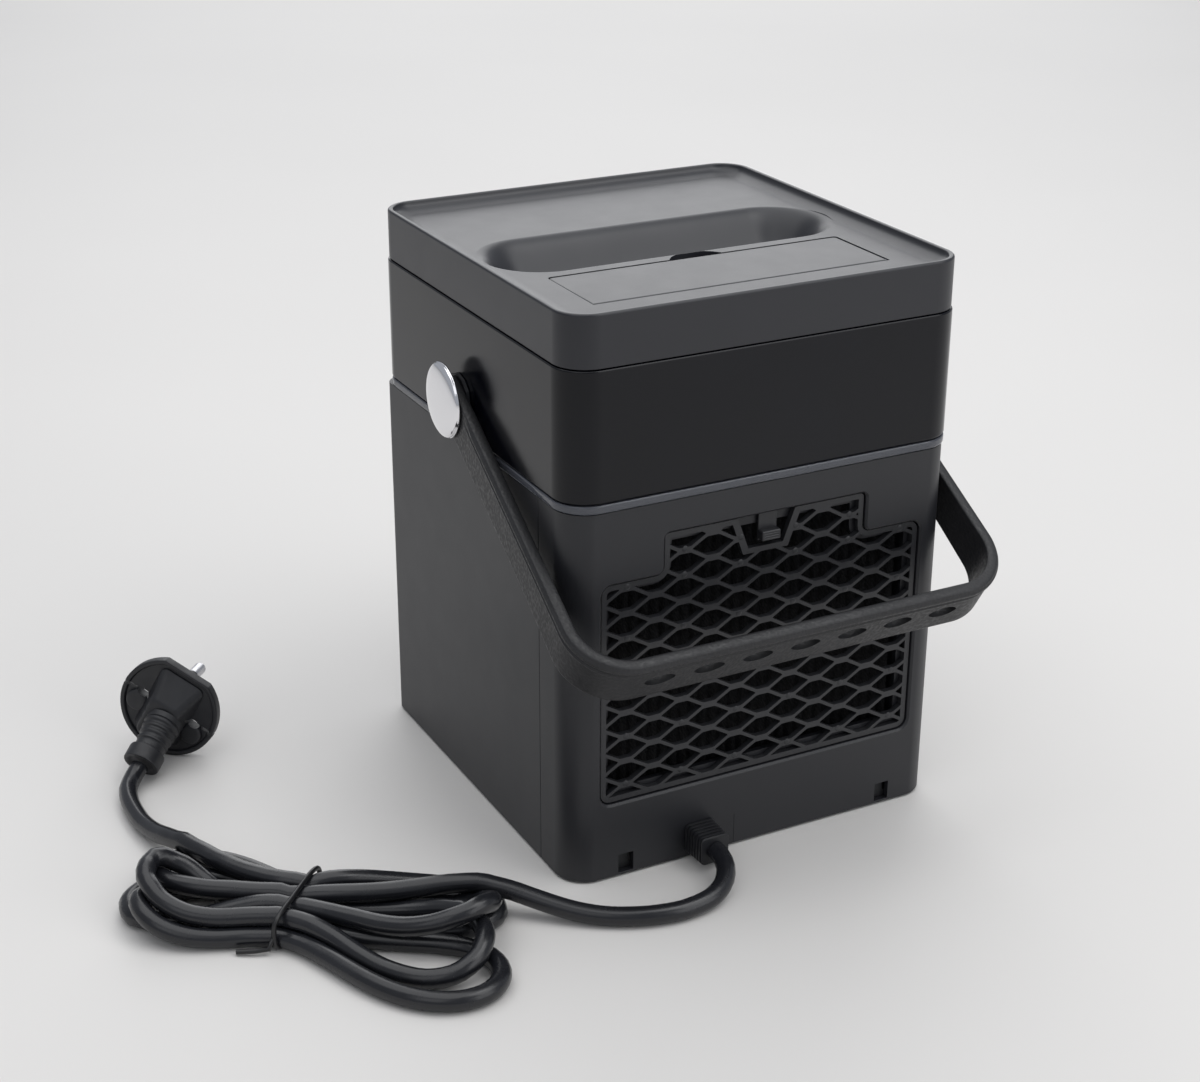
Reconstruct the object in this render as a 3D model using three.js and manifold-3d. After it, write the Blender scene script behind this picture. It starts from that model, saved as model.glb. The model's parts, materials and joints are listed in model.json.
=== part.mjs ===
// Cube-shaped evaporative desk cooler with a top water tank, a carrying strap and a mains lead.
// Units are millimetres. +Z is up, the air outlet faces -Y, the intake grille faces +Y, and the
// origin is the middle of the underside, on the surface that the cooler stands on.
import * as THREE from 'three';
import { mergeVertices } from 'three/addons/utils/BufferGeometryUtils.js';
import Module from 'manifold-3d';

const wasm = await Module();
wasm.setup();

// ---------------------------------------------------------------- driving dimensions
const WIDTH = 154;               // cabinet, along X
const DEPTH = 158;               // cabinet, along Y
const HEIGHT = 210;              // floor to lid rim
const GAP = 0.3;                 // clearance between neighbouring pieces
const WALL = 2.5;                // moulded walls
const CORNER = 12;               // vertical corners of rear housing, tank and lid
const FRONT_CORNER = 6;          // vertical corners of the front housing

const BODY_TOP = 141.3;          // top edge of the two housings
const BODY_LIFT = 0.8;           // housings stop this far above the floor
const SEAM_Y = 56;               // seam between front and rear housings
const BASE_THICK = 4;
const FLANGE_THICK = 3;          // clear plate that closes the tank
const TANK_HEIGHT = 46.3;
const TANK_PROUD = 0.5;          // tank stands out from the housings by this much
const TANK_FLOOR = 2.5;

const LID_DECK = 3.5;            // lid deck lies this far under the rim
const LID_RIM = 2;
const LID_DECK_THICK = 3;
const DOOR_HALF = 58;            // refill door, half width
const DOOR_FRONT = 25;
const DOOR_BACK = 59.5;
const DOOR_THICK = 3;
const NOTCH_HALF = 10.5;         // finger notch in front of the door
const NOTCH_DEEP = 6;
const TROUGH_HALF = 67;          // stadium trough in the lid
const TROUGH_FRONT = -21;
const TROUGH_BACK = 17.6;
const TROUGH_DEEP = 15.5;

const GRILLE_HALF = 64;          // intake grille
const GRILLE_LOW = 30.5;
const GRILLE_SHOULDER = 114;
const GRILLE_TOP = 129;
const GRILLE_STEP = 40;
const GRILLE_THICK = 2.2;
const GRILLE_INSET = 1.5;        // face lies this far inside the rear face
const GRILLE_BAR = 2;
const GRILLE_GAP = 0.5;
const LEDGE = 4;                 // ledge that the grille rests on
const CELL_PITCH_X = 22.1;       // honeycomb
const CELL_PITCH_Z = 9.45;
const CELL_ORIGIN_X = -1;
const CELL_ORIGIN_Z = 83.5;
const CELL_WIDE = 17.6;          // opening, point to point
const CELL_TALL = 7.7;           // opening, flat to flat
const CELL_FLAT = 5;             // flat edge of an opening
const LATCH_TOP_HALF = 11.5;     // notch above the latch
const LATCH_LOW_HALF = 7;
const LATCH_Z = 117;

const PIVOT_Y = -4.8;            // strap handle
const PIVOT_Z = 157.4;
const STRAP_REACH = 128.6;       // pivot to the outer face of the crossbar
const STRAP_STAND = 17.674;      // crossbar's lower inner edge, out from the rear face at rest
const STRAP_THICK = 4.1;
const STRAP_SPREAD = 2.2;        // crossbar corners stand further out than the pivots
const STRAP_CORNER = 21;
const EYE_RADIUS = 8.2;
const CROSSBAR_UP = 10.4;        // crossbar edges above and below the strap's middle line
const CROSSBAR_DOWN = 9.2;
const ARM_DOWN = 7.2;
const SLOT_COUNT = 7;
const SLOT_PITCH = 18.9;
const SLOT_LONG = 11.8;
const SLOT_TALL = 5.2;
const WASHER_THICK = 1.2;
const CAP_RADIUS = 13.8;
const CAP_THICK = 3.2;
const PIN_RADIUS = 3;

const OUTLET_HALF = 57;          // air outlet
const OUTLET_LOW = 41;
const OUTLET_TOP = 125;
const LOUVRE_COUNT = 5;
const LOUVRE_CHORD = 14;
const LOUVRE_THICK = 1.8;
const LINK_ARM = 10.5;           // louvre pivot to link pin
const LINK_X = 46.4;             // side of the link bar nearest the middle
const LINK_MARGIN = 2.5;         // link bar beyond its end pins
const FRAME_DEEP = 14.5;
const FRAME_BORDER = 5;

const FAN_RADIUS = 48;
const FAN_HUB = 17;
const FAN_HUB_WALL = 2.5;
const FAN_BLADES = 7;
const FAN_DEEP = 20;
const FAN_TIP_GAP = 2;
const SHROUD_RIM = 4;            // fan plate beyond its bore, above and below
const SHROUD_WALL = 2;
const FAN_ABOVE = 5.5 / 20.9;    // share of the free height that is left above the fan plate
const POWER_BOARD_LIFT = 5;      // power board above the base plate
const POWER_BOARD_THICK = 1.6;
const SHROUD_FRONT = -53;
const SHROUD_DEEP = 23;
const MOTOR_RADIUS = 17.5;
const MOTOR_LONG = 24;
const SHAFT_RADIUS = 2.5;

const BUTTON_RADIUS = 5.5;
const BUTTON_Z = 22;
const BUTTON_PITCH = 24;
const BUTTON_PROUD = 1.2;
const BUTTON_NAMES = ['power_button', 'speed_button', 'mist_button', 'timer_button'];

const PAD_HALF = 61;             // evaporator pad
const PAD_LOW = 28;
const PAD_TOP = 126;
const PAD_THICK = 14;
const PAD_FRAME_WALL = 2;
const SPOUT_RADIUS = 5;          // tank outlet over the trickle tray

const RELIEF_X = 24.8;           // strain relief of the mains lead
const RELIEF_Z = 8.5;
const RELIEF_WIDE = 12;
const RELIEF_TALL = 11.4;
const RELIEF_OUT = 11.5;
const RELIEF_TAPER = 0.4;        // narrowing of each side towards the tip
const RELIEF_NECK = 4.4;         // half size of the neck through the wall
const CORD_DIAMETER = 7;

const SCREW_INSET = 12;          // base screws, in from the housings' outer faces
const SCREW_RADIUS = 1.5;
const SCREW_HEAD = 2.9;
const PAD_RADIUS = 6;            // foot pads
const FOOT_INSET = 15;

// ---------------------------------------------------------------- worked-out levels
const HX = WIDTH / 2;
const HY = DEPTH / 2;
const FLANGE_LOW = BODY_TOP + GAP;
const TANK_LOW = FLANGE_LOW + FLANGE_THICK + GAP;
const TANK_TOP = TANK_LOW + TANK_HEIGHT;
const LID_LOW = TANK_TOP + GAP;
const DECK_Z = HEIGHT - LID_DECK;
const RAD = Math.PI / 180;
// Degrees below the horizontal at which the hanging strap stands that far off the rear face.
const STRAP_INSIDE = STRAP_REACH - STRAP_THICK;
const STRAP_DROP = (Math.acos((HY - PIVOT_Y + STRAP_STAND) / Math.hypot(STRAP_INSIDE, CROSSBAR_DOWN))
  - Math.atan2(CROSSBAR_DOWN, STRAP_INSIDE)) / RAD;

// ---------------------------------------------------------------- materials
function material(hex, roughness, metalness = 0, opacity = 1) {
  return new THREE.MeshStandardMaterial({
    color: hex, roughness, metalness, opacity, transparent: opacity < 1,
  });
}
const FINISH = {
  shell: material(0x303136, 0.55),
  lid: material(0x3a3b40, 0.5),
  tank: material(0x0b0c10, 0.12, 0, 0.85),
  clear: material(0xcfd3d8, 0.08, 0, 0.4),
  strap: material(0x2b2b2f, 0.7),
  chrome: material(0xd8d9dc, 0.08, 1),
  grille: material(0x35363a, 0.5),
  inner: material(0x24252a, 0.6),
  pad: material(0x1b1c1f, 0.95),
  rubber: material(0x17171a, 0.85),
  cord: material(0x15161a, 0.45),
  steel: material(0xb0b3b8, 0.3, 1),
  board: material(0x1f5a3a, 0.6),
  button: material(0x44464c, 0.45),
  seal: material(0x8a8c90, 0.8),
};

// ---------------------------------------------------------------- solids
function toSolid(geometry) {
  const bare = new THREE.BufferGeometry();
  bare.setAttribute('position', geometry.getAttribute('position').clone());
  if (geometry.index) bare.setIndex(geometry.index.clone());
  const merged = mergeVertices(bare, 1e-4);
  return new wasm.Manifold(new wasm.Mesh({
    numProp: 3,
    vertProperties: new Float32Array(merged.getAttribute('position').array),
    triVerts: new Uint32Array(merged.index.array),
  }));
}

function toGeometry(solid) {
  const mesh = solid.getMesh();
  const geometry = new THREE.BufferGeometry();
  geometry.setAttribute('position', new THREE.BufferAttribute(new Float32Array(mesh.vertProperties), 3));
  geometry.setIndex(new THREE.BufferAttribute(new Uint32Array(mesh.triVerts), 1));
  geometry.computeVertexNormals();
  return geometry;
}

function box(x0, x1, y0, y1, z0, z1) {
  const geometry = new THREE.BoxGeometry(x1 - x0, y1 - y0, z1 - z0);
  geometry.translate((x0 + x1) / 2, (y0 + y1) / 2, (z0 + z1) / 2);
  return toSolid(geometry);
}

// A shape drawn in X and Y, carried up from z0 to z1.
function prismZ(shape, z0, z1, segments = 3) {
  const options = { depth: z1 - z0, bevelEnabled: false, curveSegments: segments };
  const geometry = new THREE.ExtrudeGeometry(shape, options);
  geometry.translate(0, 0, z0);
  return toSolid(geometry);
}

// A shape drawn in X and Z, carried back from y0 to y1.
function prismY(shape, y0, y1, segments = 2) {
  const options = { depth: y1 - y0, bevelEnabled: false, curveSegments: segments };
  const geometry = new THREE.ExtrudeGeometry(shape, options);
  geometry.rotateX(Math.PI / 2);
  geometry.translate(0, y1, 0);
  return toSolid(geometry);
}

// A shape drawn in Y and Z, carried across from x0 to x1.
function prismX(shape, x0, x1, segments = 3) {
  const options = { depth: x1 - x0, bevelEnabled: false, curveSegments: segments };
  const geometry = new THREE.ExtrudeGeometry(shape, options);
  const turn = new THREE.Matrix4().makeBasis(
    new THREE.Vector3(0, 1, 0), new THREE.Vector3(0, 0, 1), new THREE.Vector3(1, 0, 0));
  geometry.applyMatrix4(turn);
  geometry.translate(x0, 0, 0);
  return toSolid(geometry);
}

function circle(cx, cy, radius) {
  const shape = new THREE.Shape();
  shape.absarc(cx, cy, radius, 0, 2 * Math.PI, false);
  return shape;
}

function rodX(x0, x1, y, z, radius, segments = 12) {
  return prismX(circle(y, z, radius), x0, x1, segments / 2);
}

function rodY(y0, y1, x, z, radius, segments = 12) {
  return prismY(circle(x, z, radius), y0, y1, segments / 2);
}

function rodZ(z0, z1, x, y, radius, segments = 12) {
  return prismZ(circle(x, y, radius), z0, z1, segments / 2);
}

// Rectangle with its own radius at each corner, in the order low-left, low-right, top-right, top-left.
function roundedRect(x0, x1, y0, y1, radii) {
  const [a, b, c, d] = Array.isArray(radii) ? radii : [radii, radii, radii, radii];
  const shape = new THREE.Shape();
  shape.moveTo(x0 + a, y0);
  shape.lineTo(x1 - b, y0);
  shape.absarc(x1 - b, y0 + b, b, -Math.PI / 2, 0, false);
  shape.lineTo(x1, y1 - c);
  shape.absarc(x1 - c, y1 - c, c, 0, Math.PI / 2, false);
  shape.lineTo(x0 + d, y1);
  shape.absarc(x0 + d, y1 - d, d, Math.PI / 2, Math.PI, false);
  shape.lineTo(x0, y0 + a);
  shape.absarc(x0 + a, y0 + a, a, Math.PI, 1.5 * Math.PI, false);
  return shape;
}

// The cabinet's plan, drawn in by inset, with square-ish front corners or round ones.
function plan(inset, frontRadius = CORNER, backRadius = CORNER) {
  const front = Math.max(frontRadius - inset, 0.5);
  const back = Math.max(backRadius - inset, 0.5);
  return roundedRect(-HX + inset, HX - inset, -HY + inset, HY - inset, [front, front, back, back]);
}

// A cover of revolution about X: points are [distance along X, radius].
function latheX(points, segments = 24) {
  const profile = points.map(([along, radius]) => new THREE.Vector2(radius, along));
  const geometry = new THREE.LatheGeometry(profile, segments);
  geometry.rotateZ(-Math.PI / 2);
  return geometry;
}

const object = new THREE.Group();
const handle = new THREE.Group();
handle.position.set(0, PIVOT_Y, PIVOT_Z);
handle.rotation.x = -STRAP_DROP * RAD;
object.add(handle);

function place(name, solid, finish, parent = object) {
  const mesh = new THREE.Mesh(solid.isBufferGeometry ? solid : toGeometry(solid), finish);
  mesh.name = name;
  parent.add(mesh);
  return mesh;
}

// ---------------------------------------------------------------- base, feet and screws
const SCREW_PLACES = [[-1, -1], [1, -1], [1, 1], [-1, 1]].map(([sx, sy]) => (
  [sx * (HX - SCREW_INSET), sy * (HY - SCREW_INSET)]));
const SCREW_SEAT = 2.4;
const FOOT_DEEP = 1.2;

function basePlate() {
  const inset = WALL + 0.4;
  let plate = prismZ(plan(inset, FRONT_CORNER, CORNER), 0, BASE_THICK);
  for (const [x, y] of SCREW_PLACES) {
    plate = plate.subtract(rodZ(-1, SCREW_SEAT, x, y, SCREW_HEAD + GAP));
    plate = plate.subtract(rodZ(-1, BASE_THICK + 1, x, y, SCREW_RADIUS + 0.4));
  }
  for (const [x, y] of footPlaces()) {
    plate = plate.subtract(rodZ(-1, FOOT_DEEP + GAP, x, y, PAD_RADIUS + GAP));
  }
  for (const side of [-1, 1]) {
    const x = side * WINDOW_X;
    const hook = box(x - 2.4, x + 2.4, HY - inset - 2.2, HY - inset, BASE_THICK - 0.5, WINDOW_TOP - 0.6);
    plate = plate.add(hook);
  }
  return plate;
}

function footPlaces() {
  return SCREW_PLACES.map(([x, y]) => (
    [Math.sign(x) * (HX - SCREW_INSET - FOOT_INSET), Math.sign(y) * (HY - SCREW_INSET)]));
}

// Two windows low in the rear face, where hooks of the base plate snap in.
const WINDOW_X = 54.5;
const WINDOW_HALF = 3;
const WINDOW_LOW = 1.6;
const WINDOW_TOP = 9;

place('base_plate', basePlate(), FINISH.inner);
footPlaces().forEach(([x, y], i) => {
  place(`foot_pad_${i + 1}`, rodZ(0, FOOT_DEEP, x, y, PAD_RADIUS), FINISH.rubber);
});
SCREW_PLACES.forEach(([x, y], i) => {
  const head = rodZ(0.4, SCREW_SEAT - GAP, x, y, SCREW_HEAD);
  const shank = rodZ(1, BASE_THICK + 9, x, y, SCREW_RADIUS, 8);
  place(`base_screw_${i + 1}`, head.add(shank), FINISH.steel);
});

// ---------------------------------------------------------------- front housing and louvres
function screwBoss(x, y, z0, z1) {
  return rodZ(z0, z1, x, y, 3.6).subtract(rodZ(z0 - 1, z0 + 11, x, y, SCREW_RADIUS + GAP));
}

function frontHousing() {
  const outer = prismZ(plan(0, FRONT_CORNER, 0.5), BODY_LIFT, BODY_TOP);
  const inner = prismZ(plan(WALL, FRONT_CORNER, 0.5), BODY_LIFT - 1, BODY_TOP + 1);
  let shell = outer.subtract(inner);
  for (const [x, y] of SCREW_PLACES.slice(0, 2)) {
    const post = screwBoss(x, y, BASE_THICK + GAP, BASE_THICK + 14);
    const toWall = box(Math.min(x, Math.sign(x) * (HX - 1)), Math.max(x, Math.sign(x) * (HX - 1)),
      y - 1, y + 1, BASE_THICK + GAP, BASE_THICK + 14);
    const web = toWall.subtract(rodZ(0, BASE_THICK + 12, x, y, SCREW_RADIUS + GAP));
    shell = shell.add(web.add(post));
  }
  shell = shell.subtract(box(-HX - 1, HX + 1, SEAM_Y, HY + 1, -1, BODY_TOP + 1));
  const mouth = roundedRect(-OUTLET_HALF, OUTLET_HALF, OUTLET_LOW, OUTLET_TOP, 5);
  shell = shell.subtract(prismY(mouth, -HY - 1, -HY + WALL + 1));
  buttonPlaces().forEach((x) => {
    shell = shell.subtract(rodY(-HY - 1, -HY + WALL + 1, x, BUTTON_Z, BUTTON_RADIUS + GAP + 0.1));
  });
  return shell;
}

function buttonPlaces() {
  const first = -BUTTON_PITCH * (BUTTON_NAMES.length - 1) / 2;
  return BUTTON_NAMES.map((_, i) => first + i * BUTTON_PITCH);
}

const FRAME_FRONT = -HY + WALL + GAP;
const LOUVRE_Y = FRAME_FRONT + 8.2;
const LOUVRE_PITCH = (OUTLET_TOP - OUTLET_LOW) / LOUVRE_COUNT;
const LOUVRE_Z = Array.from({ length: LOUVRE_COUNT }, (_, i) => OUTLET_LOW + (i + 0.5) * LOUVRE_PITCH);
const STUB_RADIUS = 1.5;
const LINK_PIN = 1.1;

function louvreFrame() {
  const b = FRAME_BORDER;
  const outer = roundedRect(-OUTLET_HALF - b, OUTLET_HALF + b, OUTLET_LOW - b, OUTLET_TOP + b, 4);
  const inner = roundedRect(-OUTLET_HALF, OUTLET_HALF, OUTLET_LOW, OUTLET_TOP, 1);
  let frame = prismY(outer, FRAME_FRONT, FRAME_FRONT + FRAME_DEEP, 3);
  frame = frame.subtract(prismY(inner, FRAME_FRONT - 1, FRAME_FRONT + FRAME_DEEP + 1, 2));
  for (const z of LOUVRE_Z) {
    const reach = OUTLET_HALF + b + 1;
    frame = frame.subtract(rodX(-reach, reach, LOUVRE_Y, z, STUB_RADIUS + 0.5, 8));
  }
  return frame;
}

// Blade with round edges, a stub at each end and an ear that carries the link pin.
function louvre(z) {
  const half = LOUVRE_CHORD / 2;
  const blade = roundedRect(LOUVRE_Y - half, LOUVRE_Y + half, z - LOUVRE_THICK / 2,
    z + LOUVRE_THICK / 2, LOUVRE_THICK / 2 - 0.05);
  let solid = prismX(blade, -OUTLET_HALF + 0.6, OUTLET_HALF - 0.6, 1);
  solid = solid.add(rodX(-OUTLET_HALF - 3, OUTLET_HALF + 3, LOUVRE_Y, z, STUB_RADIUS, 8));
  const pinY = LOUVRE_Y + LINK_ARM;
  solid = solid.add(box(LINK_X - 2.4, LINK_X - 0.4, LOUVRE_Y + half - 2, pinY + 1.4, z - 1.5, z + 1.5));
  return solid.add(rodX(LINK_X - 1, LINK_X + 2.8, pinY, z, LINK_PIN, 8));
}

function louvreLink() {
  const pinY = LOUVRE_Y + LINK_ARM;
  let bar = box(LINK_X, LINK_X + 2.4, pinY - 1.9, pinY + 1.9, LOUVRE_Z[0] - LINK_MARGIN,
    LOUVRE_Z.at(-1) + LINK_MARGIN);
  for (const z of LOUVRE_Z) {
    bar = bar.subtract(rodX(LINK_X - 1, LINK_X + 4, pinY, z, LINK_PIN + 0.45, 8));
  }
  return bar;
}

place('front_housing', frontHousing(), FINISH.shell);
place('louvre_frame', louvreFrame(), FINISH.inner);
LOUVRE_Z.forEach((z, i) => place(`louvre_${i + 1}`, louvre(z), FINISH.grille));
place('louvre_link', louvreLink(), FINISH.inner);

// ---------------------------------------------------------------- rear housing, grille and latch
// Stepped outline of the grille, grown by offset, without the latch notch.
function grilleOutline(offset) {
  const w = GRILLE_HALF + offset;
  const low = GRILLE_LOW - offset;
  const shoulder = GRILLE_SHOULDER + offset;
  const top = GRILLE_TOP + offset;
  const s = GRILLE_STEP + offset;
  const outer = Math.max(3.5 + offset, 0.5);
  const crown = Math.max(1.5 + offset, 0.5);
  const hollow = Math.max(3 - offset, 0.5);
  const shape = new THREE.Shape();
  shape.moveTo(-w + outer, low);
  shape.lineTo(w - outer, low);
  shape.absarc(w - outer, low + outer, outer, -Math.PI / 2, 0, false);
  shape.lineTo(w, shoulder - outer);
  shape.absarc(w - outer, shoulder - outer, outer, 0, Math.PI / 2, false);
  shape.lineTo(s + hollow, shoulder);
  shape.absarc(s + hollow, shoulder + hollow, hollow, 1.5 * Math.PI, Math.PI, true);
  shape.lineTo(s, top - crown);
  shape.absarc(s - crown, top - crown, crown, 0, Math.PI / 2, false);
  shape.lineTo(-s + crown, top);
  shape.absarc(-s + crown, top - crown, crown, Math.PI / 2, Math.PI, false);
  shape.lineTo(-s, shoulder + hollow);
  shape.absarc(-s - hollow, shoulder + hollow, hollow, 0, -Math.PI / 2, true);
  shape.lineTo(-w + outer, shoulder);
  shape.absarc(-w + outer, shoulder - outer, outer, Math.PI / 2, Math.PI, false);
  shape.lineTo(-w, low + outer);
  shape.absarc(-w + outer, low + outer, outer, Math.PI, 1.5 * Math.PI, false);
  return shape;
}

function latchNotch(offset, top) {
  const z = LATCH_Z - offset;
  const slope = (LATCH_TOP_HALF - LATCH_LOW_HALF) / (GRILLE_TOP - LATCH_Z);
  const low = LATCH_LOW_HALF + offset;
  const high = LATCH_LOW_HALF + offset + slope * (top - z);
  const shape = new THREE.Shape();
  shape.moveTo(-low, z);
  shape.lineTo(low, z);
  shape.lineTo(high, top);
  shape.lineTo(-high, top);
  shape.closePath();
  return shape;
}

const GRILLE_BACK = HY - GRILLE_INSET - GRILLE_THICK;
const POCKET_BACK = GRILLE_BACK - GAP;
const LATCH_X = -1;
const LATCH_HALF = 3.7;
const LATCH_THICK = 1;
const LATCH_TRAVEL = 1.5;

function rearHousing() {
  const outer = prismZ(plan(0, 0.5, CORNER), BODY_LIFT, BODY_TOP);
  const inner = prismZ(plan(WALL, 0.5, CORNER), BODY_LIFT - 1, BODY_TOP + 1);
  let shell = outer.subtract(inner);
  shell = shell.add(prismY(grilleOutline(LEDGE), POCKET_BACK - 2.2, HY - 1));
  for (const [x, y] of SCREW_PLACES.slice(2)) {
    const post = screwBoss(x, y, BASE_THICK + GAP, BASE_THICK + 14);
    const web = box(x - 1, x + 1, y, HY - 1, BASE_THICK + GAP, BASE_THICK + 14)
      .subtract(rodZ(0, BASE_THICK + 12, x, y, SCREW_RADIUS + GAP));
    shell = shell.add(web.add(post));
  }
  shell = shell.subtract(box(-HX - 1, HX + 1, -HY - 1, SEAM_Y + GAP, -1, BODY_TOP + 1));
  shell = shell.subtract(prismY(grilleOutline(GRILLE_GAP), POCKET_BACK, HY + 1));
  shell = shell.subtract(prismY(grilleOutline(-LEDGE), POCKET_BACK - 5, HY + 1));
  for (const side of [-1, 1]) {
    const x = side * WINDOW_X;
    shell = shell.subtract(box(x - WINDOW_HALF, x + WINDOW_HALF, HY - WALL - 1, HY + 1,
      WINDOW_LOW, WINDOW_TOP));
  }
  const n = RELIEF_NECK + GAP;
  return shell.subtract(box(RELIEF_X - n, RELIEF_X + n, HY - WALL - 1, HY + 1, RELIEF_Z - n, RELIEF_Z + n));
}

// One opening of the honeycomb: a flat-topped hexagon about (x, z).
function cell(x, z) {
  const shape = new THREE.Shape();
  const flat = CELL_FLAT / 2;
  const wide = CELL_WIDE / 2;
  const tall = CELL_TALL / 2;
  shape.moveTo(x - wide, z);
  shape.lineTo(x - flat, z - tall);
  shape.lineTo(x + flat, z - tall);
  shape.lineTo(x + wide, z);
  shape.lineTo(x + flat, z + tall);
  shape.lineTo(x - flat, z + tall);
  shape.closePath();
  return shape;
}

function filterGrille() {
  const y0 = GRILLE_BACK;
  const y1 = GRILLE_BACK + GRILLE_THICK;
  const cells = [];
  const columns = Math.ceil(GRILLE_HALF / (CELL_PITCH_X / 2)) + 1;
  const rows = Math.ceil((GRILLE_TOP - GRILLE_LOW) / CELL_PITCH_Z) + 1;
  for (let i = -columns; i <= columns; i++) {
    for (let j = -rows; j <= rows; j++) {
      const x = CELL_ORIGIN_X + i * CELL_PITCH_X / 2;
      const z = CELL_ORIGIN_Z + (j + (i % 2 ? 0.5 : 0)) * CELL_PITCH_Z;
      if (Math.abs(x) > GRILLE_HALF + CELL_WIDE || z < GRILLE_LOW - CELL_TALL) continue;
      if (z > GRILLE_TOP + CELL_TALL) continue;
      cells.push(prismY(cell(x, z), y0 - 1, y1 + 1));
    }
  }
  const sheet = prismY(grilleOutline(-GRILLE_BAR), y0, y1)
    .subtract(wasm.Manifold.union(cells));
  const rim = prismY(grilleOutline(0), y0, y1)
    .subtract(prismY(grilleOutline(-GRILLE_BAR), y0 - 1, y1 + 1));
  const bridge = prismY(latchNotch(GRILLE_BAR, GRILLE_TOP), y0, y1)
    .intersect(prismY(grilleOutline(0), y0, y1));
  return sheet.add(rim).add(bridge).subtract(prismY(latchNotch(0, GRILLE_TOP + 1), y0 - 1, y1 + 1));
}

// Spring tongue in the notch: thumb tab in front, tip just under the edge of the housing.
function grilleLatch() {
  const y = GRILLE_BACK + GAP;
  const tongue = box(LATCH_X - LATCH_HALF, LATCH_X + LATCH_HALF, y, y + LATCH_THICK,
    LATCH_Z + LATCH_TRAVEL + GAP, GRILLE_TOP + GRILLE_GAP - 0.4);
  const tab = box(LATCH_X - LATCH_HALF, LATCH_X + LATCH_HALF, y, HY + 0.6, LATCH_Z + 2.4, LATCH_Z + 6);
  return tongue.add(tab);
}

place('rear_housing', rearHousing(), FINISH.shell);
place('filter_grille', filterGrille(), FINISH.grille);
place('grille_latch', grilleLatch(), FINISH.grille);

// ---------------------------------------------------------------- evaporator
const PAD_BACK = POCKET_BACK - 2.2 - 1;          // rear face of the pad's frame
const FRAME_PAD_DEEP = PAD_THICK + 2 * GAP + 2;
const TRAY_FRONT = PAD_BACK - FRAME_PAD_DEEP + 1;
const TRAY_BACK = PAD_BACK - 1;
const SPOUT_Y = (TRAY_FRONT + TRAY_BACK) / 2;

function padFrame() {
  const w = PAD_HALF + GAP + PAD_FRAME_WALL;
  const low = PAD_LOW - GAP - PAD_FRAME_WALL;
  const top = PAD_TOP + GAP + PAD_FRAME_WALL;
  const outer = box(-w, w, PAD_BACK - FRAME_PAD_DEEP, PAD_BACK, low, top);
  const room = box(-PAD_HALF - GAP, PAD_HALF + GAP, PAD_BACK - FRAME_PAD_DEEP + 2, PAD_BACK + 1,
    PAD_LOW - GAP, PAD_TOP + GAP);
  const view = box(-PAD_HALF + 5, PAD_HALF - 5, PAD_BACK - FRAME_PAD_DEEP - 1, PAD_BACK, PAD_LOW + 5,
    PAD_TOP - 5);
  return outer.subtract(room).subtract(view);
}

// Folded pad: a zigzag sheet whose folds run up and down.
function evaporatorPad() {
  const folds = 20;
  const y1 = PAD_BACK - GAP;
  const y0 = y1 - PAD_THICK;
  const sheet = 3;
  const shape = new THREE.Shape();
  const step = 2 * PAD_HALF / folds;
  const front = [];
  const back = [];
  for (let i = 0; i <= folds; i++) {
    const x = -PAD_HALF + i * step;
    front.push([x, i % 2 ? y1 - sheet : y0]);
    back.push([x, i % 2 ? y1 : y0 + sheet]);
  }
  front.concat(back.reverse()).forEach(([x, y], i) => (i ? shape.lineTo(x, y) : shape.moveTo(x, y)));
  shape.closePath();
  return prismZ(shape, PAD_LOW, PAD_TOP);
}

function openTray(x, y0, y1, z0, z1, wall) {
  return box(-x, x, y0, y1, z0, z1).subtract(box(-x + wall, x - wall, y0 + wall, y1 - wall, z0 + wall, z1 + 1));
}

const TRICKLE_LOW = PAD_TOP + GAP + PAD_FRAME_WALL + GAP;
const DECK_LOW = BODY_TOP - 3.8;
const TRICKLE_TOP = DECK_LOW - 1;

function trickleTray() {
  let tray = openTray(PAD_HALF - 2, TRAY_FRONT, TRAY_BACK, TRICKLE_LOW, TRICKLE_TOP, 1.6);
  for (let i = -4; i <= 4; i++) {
    tray = tray.subtract(box(i * 12 - 2, i * 12 + 2, TRAY_FRONT + 4, TRAY_BACK - 4, TRICKLE_LOW - 1,
      TRICKLE_LOW + 3));
  }
  return tray;
}

const SUMP_TOP = PAD_LOW - GAP - PAD_FRAME_WALL - GAP;
const SUMP_LOW = RELIEF_Z + RELIEF_TALL / 2 + 1.4;

place('pad_frame', padFrame(), FINISH.inner);
place('evaporator_pad', evaporatorPad(), FINISH.pad);
place('trickle_tray', trickleTray(), FINISH.inner);
place('sump_tray', openTray(PAD_HALF - 2, TRAY_FRONT - 3, TRAY_BACK, SUMP_LOW, SUMP_TOP, 1.6), FINISH.inner);

// ---------------------------------------------------------------- deck, tank and lid
function bodyDeck() {
  const deck = prismZ(plan(WALL + 0.4, FRONT_CORNER, CORNER), DECK_LOW, BODY_TOP);
  return deck.subtract(rodZ(DECK_LOW - 1, BODY_TOP + 1, 0, SPOUT_Y, SPOUT_RADIUS + 0.5));
}

const HOLE = SPOUT_RADIUS + 0.4;

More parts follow.
